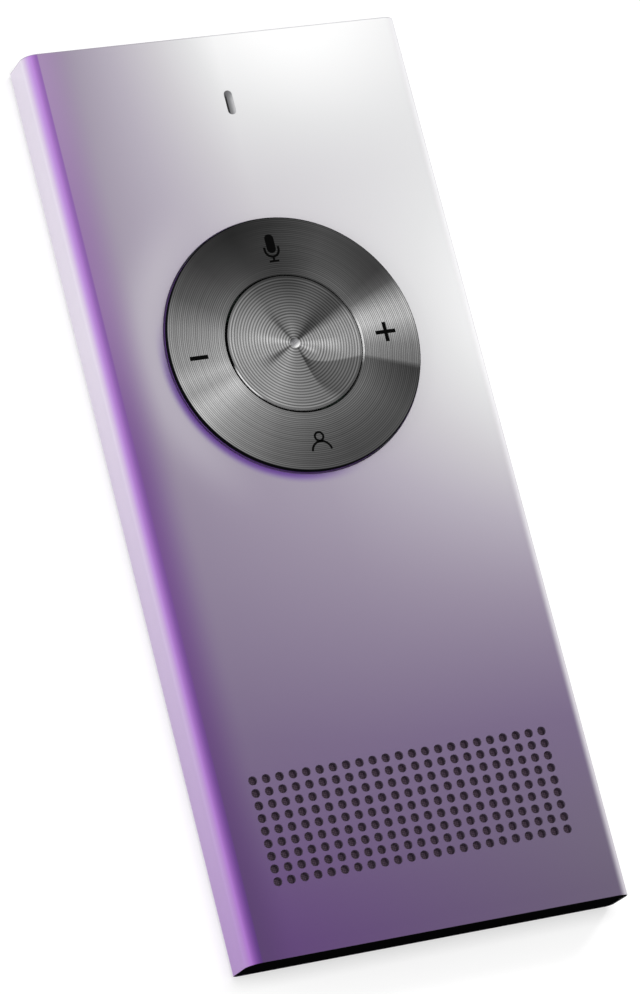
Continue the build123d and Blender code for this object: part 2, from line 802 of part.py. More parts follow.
button_plunger.part.label = "button_plunger"
export_step(button_plunger.part, "parts/button_plunger.step")

with BuildPart() as button_cap:
    dimple_sphere = (dimple_radius**2 + dimple_depth**2) / (2 * dimple_depth)
    add(
        turned(
            [
                (0, cap_underside),
                (button_radius, cap_underside),
                (button_radius, disc_top - cap_chamfer),
                (button_radius - cap_chamfer, disc_top),
                (0, disc_top),
            ]
        ).part
    )
    with Locations((0, ring_centre_y, disc_top + dimple_sphere - dimple_depth)):
        Sphere(dimple_sphere, mode=Mode.SUBTRACT)
button_cap.part.label = "button_cap"
export_step(button_cap.part, "parts/button_cap.step")

# ================================================================ battery
cell_low = floor_top + tape_thickness
cell_middle_y = cell_top_y - cell_length / 2
with BuildPart() as battery_cell:
    with BuildSketch(Plane.XY.offset(cell_low)):
        with Locations((0, cell_middle_y)):
            Rectangle(cell_width, cell_length)
    extrude(amount=cell_thickness)
    fillet(battery_cell.edges().filter_by(Axis.Y), cell_fillet)
    with BuildSketch(Plane.XY.offset(cell_low)):
        with Locations((0, cell_top_y + terrace_length / 2)):
            Rectangle(cell_width - 2 * terrace_margin, terrace_length)
    extrude(amount=terrace_height)
battery_cell.part.label = "battery_cell"
export_step(battery_cell.part, "parts/battery_cell.step")

tape_size = (cell_width - 2 * tape_margin, cell_length - 2 * tape_margin, tape_thickness)
battery_tape = block(tape_size, floor_top, (0, cell_middle_y))
battery_tape.part.label = "battery_tape"
export_step(battery_tape.part, "parts/battery_tape.step")

foam_low = cell_low + cell_thickness
foam_size = (foam_width, cell_length - 2 * foam_margin, front_inside - foam_low)
battery_foam = block(foam_size, foam_low, (0, cell_middle_y))
battery_foam.part.label = "battery_foam"
export_step(battery_foam.part, "parts/battery_foam.step")

safety_low = cell_low + terrace_height
safety_edge_y = cell_top_y + terrace_length
safety_board = block(safety_board_size, safety_low, (0, safety_edge_y - safety_board_size[1] / 2))
safety_board.part.label = "safety_board"
export_step(safety_board.part, "parts/safety_board.step")

plug_low = board_underside - plug_size[2]
plug_back_y = board_bottom_y + plug_inset
plug_middle_y = plug_back_y + plug_size[1] / 2
battery_plug = block(plug_size, plug_low, (battery_plug_x, plug_middle_y))
battery_plug.part.label = "battery_plug"
export_step(battery_plug.part, "parts/battery_plug.step")

speaker_plug = block(plug_size, plug_low, (speaker_plug_x, plug_middle_y))
speaker_plug.part.label = "speaker_plug"
export_step(speaker_plug.part, "parts/speaker_plug.step")

safety_level = safety_low + safety_board_size[2] / 2


def battery_lead(offset):
    """A short lead from the safety board's edge to the battery plug, offset sideways."""
    return lead(
        [
            (battery_plug_x - lead_side_step + offset, safety_edge_y, safety_level),
            (battery_plug_x - lead_side_step + offset, safety_edge_y + lead_straight, safety_level),
            (battery_plug_x + offset, plug_back_y - lead_straight, lead_level),
            (battery_plug_x + offset, plug_back_y, lead_level),
        ]
    )


battery_lead_red = battery_lead(-lead_pitch / 2)
battery_lead_red.part.label = "battery_lead_red"
export_step(battery_lead_red.part, "parts/battery_lead_red.step")

battery_lead_black = battery_lead(lead_pitch / 2)
battery_lead_black.part.label = "battery_lead_black"
export_step(battery_lead_black.part, "parts/battery_lead_black.step")

# ================================================================ loudspeaker
mesh_low = front_inside - mesh_thickness
mesh_length = speaker_length + 2 * mesh_margin
mesh_width = speaker_width + 2 * mesh_margin
with BuildPart() as dust_mesh:
    extrude(racetrack(mesh_length, mesh_width, mesh_low, grille_centre_y), amount=mesh_thickness)
dust_mesh.part.label = "dust_mesh"
export_step(dust_mesh.part, "parts/dust_mesh.step")

gasket_opening = (speaker_length - 2 * gasket_wall, speaker_width - 2 * gasket_wall)
with BuildPart() as speaker_gasket:
    extrude(racetrack(speaker_length, speaker_width, basket_top, grille_centre_y), amount=gasket_thickness)
    extrude(
        racetrack(*gasket_opening, basket_top, grille_centre_y),
        amount=gasket_thickness,
        mode=Mode.SUBTRACT,
    )
speaker_gasket.part.label = "speaker_gasket"
export_step(speaker_gasket.part, "parts/speaker_gasket.step")

basket_floor = 0.6
terminal_y = grille_centre_y + speaker_width / 4 + terminal_depth
terminal_height = 2 * lead_diameter + lead_pitch
cone_length = speaker_length - 2 * basket_wall
cone_width = speaker_width - 2 * basket_wall
with BuildPart() as speaker_basket:
    extrude(racetrack(speaker_length, speaker_width, basket_bottom, grille_centre_y), amount=basket_height)
    with BuildSketch(Plane.XY.offset(basket_bottom)):
        with Locations((-speaker_half, grille_centre_y), (speaker_half, grille_centre_y)):
            SlotOverall(2 * ear_reach, 2 * (screw_radius + boss_wall))
    extrude(amount=ear_height)
    # the block that the leads' terminals are moulded into
    with BuildSketch(Plane.XY.offset(basket_bottom)):
        terminal_x = lead_channel_x - terminal_width / 2 + lead_diameter
        with Locations((terminal_x, terminal_y - terminal_depth / 2)):
            Rectangle(terminal_width, terminal_depth)
    extrude(amount=terminal_height)
    # the hollow, and a ledge that the cone's outer flat lies on
    hollow_low = basket_bottom + basket_floor
    extrude(
        racetrack(cone_length - 2 * basket_wall, cone_width - 2 * basket_wall, hollow_low, grille_centre_y),
        amount=basket_height - basket_floor,
        mode=Mode.SUBTRACT,
    )
    extrude(
        racetrack(cone_length, cone_width, cone_level, grille_centre_y),
        amount=basket_top - cone_level,
        mode=Mode.SUBTRACT,
    )
    # the yoke's seat, the rear vents and the ear holes
    with BuildSketch(Plane.XY.offset(basket_bottom)):
        with Locations((0, grille_centre_y)):
            Circle(yoke_outer + fit_gap)
            with GridLocations(2 * (yoke_outer + vent_gap) + vent_length, 0, 2, 1):
                SlotOverall(vent_length, vent_width)
        with Locations((-ear_screw_x, grille_centre_y), (ear_screw_x, grille_centre_y)):
            Circle(screw_radius + fit_gap)
    extrude(amount=ear_height, mode=Mode.SUBTRACT)
speaker_basket.part.label = "speaker_basket"
export_step(speaker_basket.part, "parts/speaker_basket.step")

with BuildPart() as speaker_cone:
    # a flat film with a half-round roll all the way round it
    roll_inset = basket_wall + roll_radius
    extrude(
        racetrack(cone_length - 2 * fit_gap, cone_width - 2 * fit_gap, cone_level, grille_centre_y),
        amount=cone_thickness,
    )
    with BuildLine(Plane.XY.offset(cone_level + cone_thickness)) as roll_path:
        path_half = (cone_length - cone_width) / 2
        path_radius = cone_width / 2 - roll_inset
        near = grille_centre_y - path_radius
        far = grille_centre_y + path_radius
        Line((-path_half, near), (path_half, near))
        ThreePointArc((path_half, near), (path_half + path_radius, grille_centre_y), (path_half, far))
        Line((path_half, far), (-path_half, far))
        ThreePointArc((-path_half, far), (-path_half - path_radius, grille_centre_y), (-path_half, near))
    with BuildSketch(Plane(origin=(0, near, cone_level + cone_thickness), x_dir=(0, 1, 0), z_dir=(1, 0, 0))):
        with Locations((0, roll_radius / 2)):
            Trapezoid(2 * roll_radius, roll_radius, roll_slope)
    sweep(path=roll_path.line)
speaker_cone.part.label = "speaker_cone"
export_step(speaker_cone.part, "parts/speaker_cone.step")

coil_low = cone_level - coil_height
voice_coil = turned(
    [
        (coil_radius, coil_low),
        (coil_radius + coil_wall, coil_low),
        (coil_radius + coil_wall, cone_level),
        (coil_radius, cone_level),
    ],
    grille_centre_y,
)
voice_coil.part.label = "voice_coil"
export_step(voice_coil.part, "parts/voice_coil.step")

yoke_low = floor_top
yoke_top = coil_low + coil_height / 2
speaker_yoke = turned(
    [
        (0, yoke_low),
        (yoke_outer, yoke_low),
        (yoke_outer, yoke_top),
        (yoke_outer - yoke_wall, yoke_top),
        (yoke_outer - yoke_wall, yoke_low + yoke_base),
        (0, yoke_low + yoke_base),
    ],
    grille_centre_y,
)
speaker_yoke.part.label = "speaker_yoke"
export_step(speaker_yoke.part, "parts/speaker_yoke.step")

pole_low = yoke_top - pole_thickness
speaker_magnet = turned(
    [
        (0, yoke_low + yoke_base),
        (magnet_radius, yoke_low + yoke_base),
        (magnet_radius, pole_low),
        (0, pole_low),
    ],
    grille_centre_y,
)
speaker_magnet.part.label = "speaker_magnet"
export_step(speaker_magnet.part, "parts/speaker_magnet.step")

pole_radius = coil_radius - pole_gap
speaker_pole = turned(
    [(0, pole_low), (pole_radius, pole_low), (pole_radius, yoke_top), (0, yoke_top)],
    grille_centre_y,
)
speaker_pole.part.label = "speaker_pole"
export_step(speaker_pole.part, "parts/speaker_pole.step")


def speaker_lead(side):
    """A lead from the loudspeaker's terminals to its plug. The two run stacked beside the cell."""
    offset = side * lead_pitch / 2
    channel_level = basket_bottom + lead_pitch / 2 + lead_diameter + offset
    run = cell_top_y - terminal_y
    turn_y = cell_top_y + terrace_length + lead_diameter
    drop = lead_pitch / 2 + offset
    return lead(
        [
            (lead_channel_x, terminal_y, channel_level),
            (lead_channel_x, terminal_y + 0.2 * run, channel_level),
            (lead_channel_x + 0.15, terminal_y + 0.5 * run, channel_level - 0.15),
            (lead_channel_x, terminal_y + 0.8 * run, channel_level),
            (lead_channel_x + 0.1, cell_top_y + 0.8, channel_level - 0.1),
            (lead_channel_x - 0.5, turn_y + offset, lead_level + drop),
            (speaker_plug_x + offset + 1.0, turn_y + offset + 0.8, lead_level + drop / 4),
            (speaker_plug_x + offset, plug_back_y, lead_level),
        ]
    )


speaker_lead_red = speaker_lead(-1)
speaker_lead_red.part.label = "speaker_lead_red"
export_step(speaker_lead_red.part, "parts/speaker_lead_red.step")

speaker_lead_black = speaker_lead(1)
speaker_lead_black.part.label = "speaker_lead_black"
export_step(speaker_lead_black.part, "parts/speaker_lead_black.step")

# ================================================================ screws
key_frame_screws = screws(frame_screws, head_seat, board_underside - screw_bite)
key_frame_screws.part.label = "key_frame_screws"
export_step(key_frame_screws.part, "parts/key_frame_screws.step")

board_screws = screws(board_screw_points, board_face, board_underside - screw_bite)
board_screws.part.label = "board_screws"
export_step(board_screws.part, "parts/board_screws.step")

speaker_screws = screws(
    [(-ear_screw_x, grille_centre_y), (ear_screw_x, grille_centre_y)],
    basket_bottom + ear_height,
    basket_bottom - screw_bite,
)
speaker_screws.part.label = "speaker_screws"
export_step(speaker_screws.part, "parts/speaker_screws.step")
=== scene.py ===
"""The looks of a handheld translator: an extruded satin sleeve with a turned control ring and centre button.

Everything is in metres. X is the width, Y runs along the length towards the microphone end, Z points out of
the front face, and the back face lies on the floor at Z = 0.
"""

import json

import bmesh
import bpy
import numpy as np
from mathutils import Matrix, Vector


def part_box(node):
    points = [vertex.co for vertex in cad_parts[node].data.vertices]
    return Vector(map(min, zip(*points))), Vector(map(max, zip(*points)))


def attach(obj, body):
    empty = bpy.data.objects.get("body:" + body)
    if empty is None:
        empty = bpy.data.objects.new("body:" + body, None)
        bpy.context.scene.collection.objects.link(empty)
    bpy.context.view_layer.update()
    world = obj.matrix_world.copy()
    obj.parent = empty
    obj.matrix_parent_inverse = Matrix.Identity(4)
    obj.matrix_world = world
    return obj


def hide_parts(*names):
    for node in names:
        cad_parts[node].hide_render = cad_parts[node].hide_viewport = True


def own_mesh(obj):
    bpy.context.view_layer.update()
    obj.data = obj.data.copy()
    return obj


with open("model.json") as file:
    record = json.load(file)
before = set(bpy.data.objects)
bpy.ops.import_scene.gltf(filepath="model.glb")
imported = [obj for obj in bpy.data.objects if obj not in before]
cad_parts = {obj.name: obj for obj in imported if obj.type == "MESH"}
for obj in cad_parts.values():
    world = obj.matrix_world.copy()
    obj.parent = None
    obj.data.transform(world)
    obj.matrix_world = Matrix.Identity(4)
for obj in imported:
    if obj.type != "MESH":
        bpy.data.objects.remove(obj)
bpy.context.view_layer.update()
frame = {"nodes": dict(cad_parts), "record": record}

MM = 0.001
TURN = 2 * np.pi

# ------------ sizes, from the frame where it has them
half_width, half_length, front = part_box("sleeve")[1]
button_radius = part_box("button_cap")[1].x
ring_low, ring_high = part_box("ring_cap")
mesh_low, mesh_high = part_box("dust_mesh")
guide_low, guide_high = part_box("light_guide")
rim_low, rim_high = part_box("ring_rim")

disc_top = ring_high.z
cap_underside = ring_low.z
ring_centre = Vector((0.0, (ring_low.y + ring_high.y) / 2))
ring_radius = ring_high.x
slot_centre_y = (guide_low.y + guide_high.y) / 2
grille_centre_y = (mesh_low.y + mesh_high.y) / 2

wall = 0.9 * MM
front_rounding = 1.95 * MM
back_rounding = 1.05 * MM
mouth_lip = 0.45 * MM
mouth_depth = 1.2 * MM
lip_bevel = 0.05 * MM
hole_bevel = 0.04 * MM
opening_gap = 0.2 * MM
button_gap = 0.15 * MM
ring_inner = button_radius + button_gap
cap_chamfer = 0.12 * MM
inner_chamfer = 0.18 * MM
dimple_radius = 0.7 * MM
dimple_depth = 0.22 * MM
dimple_rim = 0.02 * MM
slot_half = 1.175 * MM  # straight part of the slot, each side of its middle
slot_radius = 0.575 * MM
grille_columns = 23
grille_rows = 9
grille_pitch_x = 1.894 * MM
grille_pitch_y = 1.691 * MM
grille_hole = 0.6 * MM
ring_pitch = 0.26 * MM
ring_groove = 0.006 * MM
button_pitch = 0.4 * MM
button_groove = 0.014 * MM
print_height = 0.006 * MM
print_depth = 0.03 * MM  # how far a sign reaches into the ring's face
camera_place = (-0.249657, -0.155944, 0.572177)


# ------------ meshes
def grid_faces(rows, columns, close_rows=False, close_columns=False):
    """Quads over a grid of points stored row by row: (i, j), (i, j+1), (i+1, j+1), (i+1, j)."""
    i = np.arange(rows if close_rows else rows - 1)[:, None]
    j = np.arange(columns if close_columns else columns - 1)[None, :]
    below = (i + 1) % rows
    right = (j + 1) % columns
    corners = [i * columns + j, i * columns + right, below * columns + right, below * columns + j]
    return np.stack(corners, axis=-1).reshape(-1, 4)


def finished_mesh(name, material, points, faces, uv=None, sharp_degrees=30.0):
    """An object at the origin, from arrays of points and faces. Doubles are merged, wide angles are sharp."""
    mesh = bpy.data.meshes.new(name)
    mesh.from_pydata(np.asarray(points, float).reshape(-1, 3).tolist(), [], np.asarray(faces).tolist())
    if uv is not None:
        layer = mesh.uv_layers.new(name="turning")
        corner = np.zeros(len(mesh.loops), int)
        mesh.loops.foreach_get("vertex_index", corner)
        layer.uv.foreach_set("vector", np.asarray(uv, float).reshape(-1, 2)[corner].ravel())
    work = bmesh.new()
    work.from_mesh(mesh)
    bmesh.ops.remove_doubles(work, verts=work.verts, dist=0.0005 * MM)
    work.to_mesh(mesh)
    work.free()
    mesh.shade_smooth()
    mesh.set_sharp_from_angle(angle=np.radians(sharp_degrees))
    mesh.materials.append(material)
    piece = bpy.data.objects.new(name, mesh)
    bpy.context.scene.collection.objects.link(piece)
    return piece


def second_material(piece, material, chosen):
    """Gives another material to the faces whose middles are chosen."""
    piece.data.materials.append(material)
    count = len(piece.data.polygons)
    middles = np.zeros(3 * count)
    given = np.zeros(count, np.int32)
    piece.data.polygons.foreach_get("center", middles)
    piece.data.polygons.foreach_get("material_index", given)
    given[chosen(middles.reshape(-1, 3))] = len(piece.data.materials) - 1
    piece.data.polygons.foreach_set("material_index", given)


def from_ring(points):
    """Distance of points from the upright axis of the ring."""
    return np.hypot(points[:, 0] - ring_centre.x, points[:, 1] - ring_centre.y)


def turned(profile, centre, segments, closed=False):
    """A profile of (radius, level) points turned about the upright axis through centre:
    point = centre + (radius cos a, radius sin a, level), for a from 0 to a full turn.
    Its UV is (distance along the profile, a), so the tangent runs across the turning marks."""
    profile = np.asarray(profile, float)
    if closed:
        profile = np.vstack([profile, profile[:1]])
    angle = np.linspace(0.0, TURN, segments + 1)
    radius = profile[:, 0][:, None]
    level = np.broadcast_to(profile[:, 1][:, None], (len(profile), segments + 1))
    x = centre[0] + radius * np.cos(angle)
    y = centre[1] + radius * np.sin(angle)
    points = np.stack([x, y, level], axis=-1)
    steps = np.hypot(*np.diff(profile, axis=0).T)
    travel = np.concatenate([[0.0], np.cumsum(steps)]) / MM
    uv = np.stack(np.broadcast_arrays(travel[:, None], angle[None, :] / TURN), axis=-1)
    faces = grid_faces(len(profile), segments + 1)[:, ::-1]
    return points.reshape(-1, 3), faces, uv.reshape(-1, 2)


def joined(parts):
    """Several (points, faces) or (points, faces, uv) parts as one, with the faces renumbered."""
    starts = np.cumsum([0] + [len(part[0]) for part in parts[:-1]])
    faces = np.vstack([part[1] + start for part, start in zip(parts, starts)])
    merged = [np.vstack([part[0] for part in parts]), faces]
    if len(parts[0]) == 3:
        merged.append(np.vstack([part[2] for part in parts]))
    return tuple(merged)


def grooved_face(inner, outer, level, depth, pitch, samples):
    """Rows of (radius, level) across whole turning marks, each at
    level - depth (1 - cos(2 pi (radius - inner) / pitch)) / 2. What is left over outside stays flat."""
    count = int((outer - inner) / pitch)
    turns = np.linspace(0.0, count, count * samples + 1)
    rows = np.stack([inner + turns * pitch, level - depth * (1 - np.cos(TURN * turns)) / 2], axis=-1)
    return np.vstack([rows, [(outer, level)]])


def perimeter(half_x, half_y, x_steps, y_steps):
    """Points round a rectangle, anticlockwise from its low left corner, evenly spaced on each side."""
    xs = np.linspace(-half_x, half_x, x_steps + 1)[:-1]
    ys = np.linspace(-half_y, half_y, y_steps + 1)[:-1]
    low = np.stack([xs, np.full(x_steps, -half_y)], axis=-1)
    right = np.stack([np.full(y_steps, half_x), ys], axis=-1)
    return np.vstack([low, right, -low, -right])


def centred(count, pitch):
    """Evenly spaced places, with their middle at 0."""
    return (np.arange(count) - (count - 1) / 2) * pitch


def from_core(border, half_x, half_y):
    """For each border point, the nearest point of a rectangle in the middle, and the direction from that.
    Such a core point plus a radius times the direction is a point of a rounded outline."""
    core = np.clip(border, (-half_x, -half_y), (half_x, half_y))
    direction = border - core
    return core, direction / np.hypot(*direction.T)[:, None]


def levelled(rows, centre=(0.0, 0.0)):
    """The points of rows of (places, level), with the places given from a centre."""
    rings = [np.column_stack([places + centre, np.full(len(places), level)]) for places, level in rows]
    return np.stack(rings)


# ------------ materials
def srgb(red, green, blue):
    """A colour given as 0 to 255 display values, as the linear values that a shader takes."""
    value = np.array([red, green, blue]) / 255.0
    linear = np.where(value <= 0.04045, value / 12.92, ((value + 0.055) / 1.055) ** 2.4)
    return tuple(float(v) for v in linear)


def shades(*stops):
    """Stops of a colour ramp, each given as its place and its display colour."""
    return [(place, srgb(*colour)) for place, *colour in stops]


def node(owner, kind, inputs=None, **settings):
    """Adds a node to a material or the world, sets its properties, and gives its inputs values or links."""
    made = owner.node_tree.nodes.new(kind)
    for key, value in settings.items():
        setattr(made, key, value)
    for key, value in (inputs or {}).items():
        if isinstance(value, bpy.types.NodeSocket):
            owner.node_tree.links.new(value, made.inputs[key])
        else:
            made.inputs[key].default_value = value
    return made


def ranged(owner, value, low, high, to_low, to_high, kind="LINEAR"):
    """A value's way from low to high, as a number from to_low to to_high."""
    inputs = {"Value": value, "From Min": low, "From Max": high, "To Min": to_low, "To Max": to_high}
    return node(owner, "ShaderNodeMapRange", inputs, interpolation_type=kind).outputs["Result"]


class Finish:
    """A material with a Principled shader. What is the same all over is set on the shader's own sockets. The
    methods add nodes for the rest and give back the output that they make, or the finished material."""

    def __init__(self, name, colour, roughness, **sockets):
        self.material = bpy.data.materials.new(name)
        self.material.use_nodes = True
        self.shader = self.material.node_tree.nodes["Principled BSDF"]
        self.colour = colour
        self.roughness = roughness
        self.shader.inputs["Base Color"].default_value = (*colour, 1.0)
        self.shader.inputs["Roughness"].default_value = roughness
        for socket, value in sockets.items():
            self.shader.inputs[socket.replace("_", " ")].default_value = value
        self.place = self.add("ShaderNodeTexCoord").outputs["Object"]

    def add(self, kind, inputs=None, **settings):
        return node(self.material, kind, inputs, **settings)

    def wire(self, **outputs):
        """Links outputs to the shader's sockets of these names."""
        for socket, output in outputs.items():
            self.material.node_tree.links.new(output, self.shader.inputs[socket.replace("_", " ")])

    def axes(self):
        """The X, Y and Z of a point of the surface."""
        return self.add("ShaderNodeSeparateXYZ", {"Vector": self.place}).outputs

    def calc(self, operation, first, second=0.0):
        return self.add("ShaderNodeMath", {0: first, 1: second}, operation=operation).outputs[0]

    def product(self, first, *others):
        for other in others:
            first = self.calc("MULTIPLY", first, other)
        return first

    def total(self, first, *others):
        for other in others:
            first = self.calc("ADD", first, other)
        return first

    def linear(self, value, low, high, to_low=0.0, to_high=1.0):
        """A value's straight way from low to high, as a number from to_low to to_high."""
        return ranged(self.material, value, low, high, to_low, to_high)

    def smooth(self, value, low, high, to_low=0.0, to_high=1.0):
        """The same with a soft start and end."""
        return ranged(self.material, value, low, high, to_low, to_high, "SMOOTHSTEP")

    def ring_distance(self):
        """How far a point is from the upright axis of the ring."""
        flat = self.add("ShaderNodeVectorMath", {0: self.place, 1: (1.0, 1.0, 0.0)}, operation="MULTIPLY")
        inputs = {0: flat.outputs[0], 1: (ring_centre.x, ring_centre.y, 0.0)}
        return self.add("ShaderNodeVectorMath", inputs, operation="DISTANCE").outputs["Value"]

    def toward(self, x, y):
        """How far a point is from the ring's axis in the direction (x, y)."""
        dot = self.add("ShaderNodeVectorMath", {0: self.place, 1: (x, y, 0.0)}, operation="DOT_PRODUCT")
        return self.calc("SUBTRACT", dot.outputs["Value"], x * ring_centre.x + y * ring_centre.y)

    def ramp(self, value, stops, kind="LINEAR"):
        """A colour ramp. Each stop is (place, colour)."""
        made = self.add("ShaderNodeValToRGB", {"Fac": value})
        made.color_ramp.interpolation = kind
        elements = made.color_ramp.elements
        while len(elements) < len(stops):
            elements.new(0.5)
        for element, (place, colour) in zip(elements, stops):
            element.position = place
            element.color = (*colour, 1.0)
        return made.outputs["Color"]

    def mixed(self, factor, first, second, blend="MIX"):
        """Two colours mixed by a factor."""
        inputs = {0: factor, 6: first, 7: second}
        for key, value in inputs.items():
            if isinstance(value, tuple):
                inputs[key] = (*value, 1.0)
        made = self.add("ShaderNodeMix", inputs, data_type="RGBA", blend_type=blend, clamp_factor=True)
        return made.outputs[2]

    def grey(self, tone):
        inputs = {"Red": tone, "Green": tone, "Blue": tone}
        return self.add("ShaderNodeCombineColor", inputs).outputs["Color"]

    def bands(self, scale, direction, distortion=0.0):
        """Sine bands across a direction."""
        inputs = {"Vector": self.place, "Scale": scale, "Distortion": distortion}
        return self.add("ShaderNodeTexWave", inputs, bands_direction=direction).outputs["Fac"]

    def cells(self, scale, randomness=1.0, feature="F1"):
        """Distances in a pattern of cells."""
        inputs = {"Vector": self.place, "Scale": scale, "Randomness": randomness}
        return self.add("ShaderNodeTexVoronoi", inputs, feature=feature).outputs["Distance"]

    def bump(self, height, depth):
        inputs = {"Height": height, "Distance": depth * MM}
        self.wire(Normal=self.add("ShaderNodeBump", inputs).outputs["Normal"])

    def patterned(self, pattern, low, high, depth):
        """The finished material, with its colour from low to high by a pattern, which is its bump too. The
        depth is in millimetres."""
        self.wire(Base_Color=self.mixed(pattern, low, high))
        self.bump(pattern, depth)
        return self.material

    def grained(self, size, depth, spread, base=None):
        """The finished material, with fine grain: noise of this size in millimetres moves the colour, the
        roughness and the bump a little."""
        inputs = {"Vector": self.place, "Scale": 1.0 / (size * MM), "Detail": 3.0, "Roughness": 0.6}
        noise = self.add("ShaderNodeTexNoise", inputs).outputs["Fac"]
        shade = self.grey(self.linear(noise, 0.25, 0.75, 1.0 - spread, 1.0 + spread))
        base = self.colour if base is None else base
        smoothest, roughest = 0.9 * self.roughness, min(1.0, 1.1 * self.roughness)
        self.wire(Base_Color=self.mixed(1.0, base, shade, "MULTIPLY"))
        self.wire(Roughness=self.linear(noise, 0.2, 0.8, smoothest, roughest))
        self.bump(noise, depth)
        return self.material


def satin_sleeve_finish():
    """Bead-blasted anodised aluminium: silver at the microphone end, running into lilac and plum at the foot,
    with a violet band along the rounded left edge and a pale lilac left side. These colours are partly the
    anodising's own and partly painted violet light and shade. The front's tone is
    l + 0.73 left l^2.1 + right hill(l) + top + halo, with l from 0 at the foot to 1 at the far end, left and
    right the x on that side of the middle as a share of half the width, the right hill a painted highlight
    along the right edge, top a painted highlight at the far end and halo a painted pale glow round the ring."""
    paint = Finish("lilac_anodised_aluminium_painted_light", (0.7, 0.7, 0.7), 0.4, Metallic=0.5)
    calc, product, total, mixed = paint.calc, paint.product, paint.total, paint.mixed
    linear, smooth, ramp = paint.linear, paint.smooth, paint.ramp
    x, y, z = paint.axes()
    radius = paint.ring_distance()
    lengthwise = linear(y, -half_length, half_length)

    def hill(value, middle, width, height):
        """height exp(-((value - middle) / width)^2)"""
        offset = calc("DIVIDE", calc("SUBTRACT", value, middle), width)
        fall = calc("EXPONENT", product(calc("POWER", offset, 2.0), -1.0))
        return product(fall, height)

    # of the tone's terms, the gradient l and the left term are partly painted light; right, top and halo are
    # painted highlights and a painted glow
    left = product(calc("MINIMUM", x, 0.0), 0.73 / half_width, calc("POWER", lengthwise, 2.1))
    right = product(calc("MAXIMUM", x, 0.0), 1.0 / half_width, hill(lengthwise, 0.606, 0.207, 0.46))
    top = product(smooth(y, 39.4 * MM, 63.0 * MM), hill(x, 11.8 * MM, 16.3 * MM, 0.2))
    halo = product(smooth(x, -8.0 * MM, -20.0 * MM), hill(radius, 20.0 * MM, 3.74 * MM, 0.17))
    tone = total(lengthwise, left, right, top, halo)
    highest_tone = 1.2
    plum_to_silver = shades(
        (0.01, 96, 76, 114),
        (0.17, 116, 100, 131),
        (0.33, 148, 137, 157),
        (0.5, 176, 169, 182),
        (0.66, 200, 197, 202),
        (0.82, 222, 222, 223),
        (0.99, 249, 249, 249),
    )
    face = ramp(calc("DIVIDE", tone, highest_tone), plum_to_silver)
    # the foot is stronger in colour towards the left, by 12 per metre, partly as painted violet light
    stronger = product(x, -12.0, smooth(y, -35.0 * MM, -58.0 * MM))
    inputs = {"Color": face, "Saturation": total(stronger, 1.0)}
    face = paint.add("ShaderNodeHueSaturation", inputs).outputs["Color"]
    # a violet band along the front's left edge, partly the anodising's colour and partly painted violet rim
    # light
    plum_to_lilac = shades(
        (0.0, 82, 56, 103), (0.5, 112, 76, 136), (0.75, 144, 113, 161), (1.0, 160, 134, 174)
    )
    left_edge = ramp(lengthwise, plum_to_lilac, "EASE")
    face = mixed(smooth(x, -26.0 * MM, -20.0 * MM, 1.0, 0.0), face, left_edge)

    # how far round the long front edge a point is: 0 at the front, 1 where the side is upright
    depth = linear(z, front, front - front_rounding)
    # the tones round the left edge and down the side are partly the anodising's colour and partly painted
    # light: a painted violet highlight along the rounding and a side painted paler as if lit
    round_edge = {  # place: the tones at the foot and at the far end
        0.0: ((84, 46, 117), (139, 94, 168)),
        0.1: ((126, 76, 158), (179, 129, 208)),
        0.26: ((166, 112, 196), (196, 159, 221)),
        0.48: ((170, 129, 194), (207, 190, 218)),
        0.75: ((177, 140, 201), (225, 217, 231)),
        1.0: ((171, 133, 195), (222, 214, 228)),
    }
    side_foot, side_far = (
        ramp(depth, [(place, srgb(*tones[i])) for place, tones in round_edge.items()]) for i in (0, 1)
    )
    # the upright side is pale from two thirds of the length onwards
    paler = calc("SUBTRACT", linear(lengthwise, 0.0, 0.68), lengthwise)
    paler = product(paler, smooth(depth, 0.1, 0.5))
    left_side = mixed(total(lengthwise, paler), side_foot, side_far)
    colour = mixed(smooth(x, -25.45 * MM, -25.65 * MM), face, left_side)
    # the right side is pale grey with a painted highlight, brightest at six tenths of the length
    right_highlight_greys = shades(
        (0.0, 200, 195, 205), (0.45, 226, 223, 229), (0.6, 250, 249, 251), (1.0, 238, 237, 240)
    )
    right_side_highlight = ramp(lengthwise, right_highlight_greys)
    colour = mixed(smooth(x, 25.75 * MM, 26.95 * MM), colour, right_side_highlight)

    # the walls of the speaker holes are one plain violet grey, and the slot's go from dark to pale across it:
    # painted shade on its left wall, painted light on its right
    walls = product(
        smooth(radius, 19.0 * MM, 20.0 * MM),
        smooth(calc("ABSOLUTE", x), 23.0 * MM, 24.0 * MM, 1.0, 0.0),
        smooth(z, front - 0.035 * MM, front - 0.06 * MM),
        smooth(z, front - 1.0 * MM, front - 0.95 * MM),
    )
    across_slot = linear(x, -slot_radius, slot_radius)
    slot_wall_shading = ramp(across_slot, shades((0.2, 60, 58, 64), (0.6, 214, 212, 216)), "EASE")
    wall_colour = mixed(smooth(y, 0.0, 10.0 * MM), srgb(128, 116, 136), slot_wall_shading)
    colour = mixed(walls, colour, wall_colour)

    # painted lines: darker at the right edge and the far end as painted edge shade, paler along the back's
    # rounding as a painted highlight: from, to (mm), share, tone
    for axis, start, end, share, tone in (
        (x, 27.0, 27.2, 0.7, (128, 125, 134)),
        (y, 62.8, 62.9, 0.5, (150, 146, 156)),
        (z, 1.2, 0.9, 0.5, (225, 220, 230)),
    ):
        colour = mixed(smooth(axis, start * MM, end * MM, 0.0, share), colour, srgb(*tone))

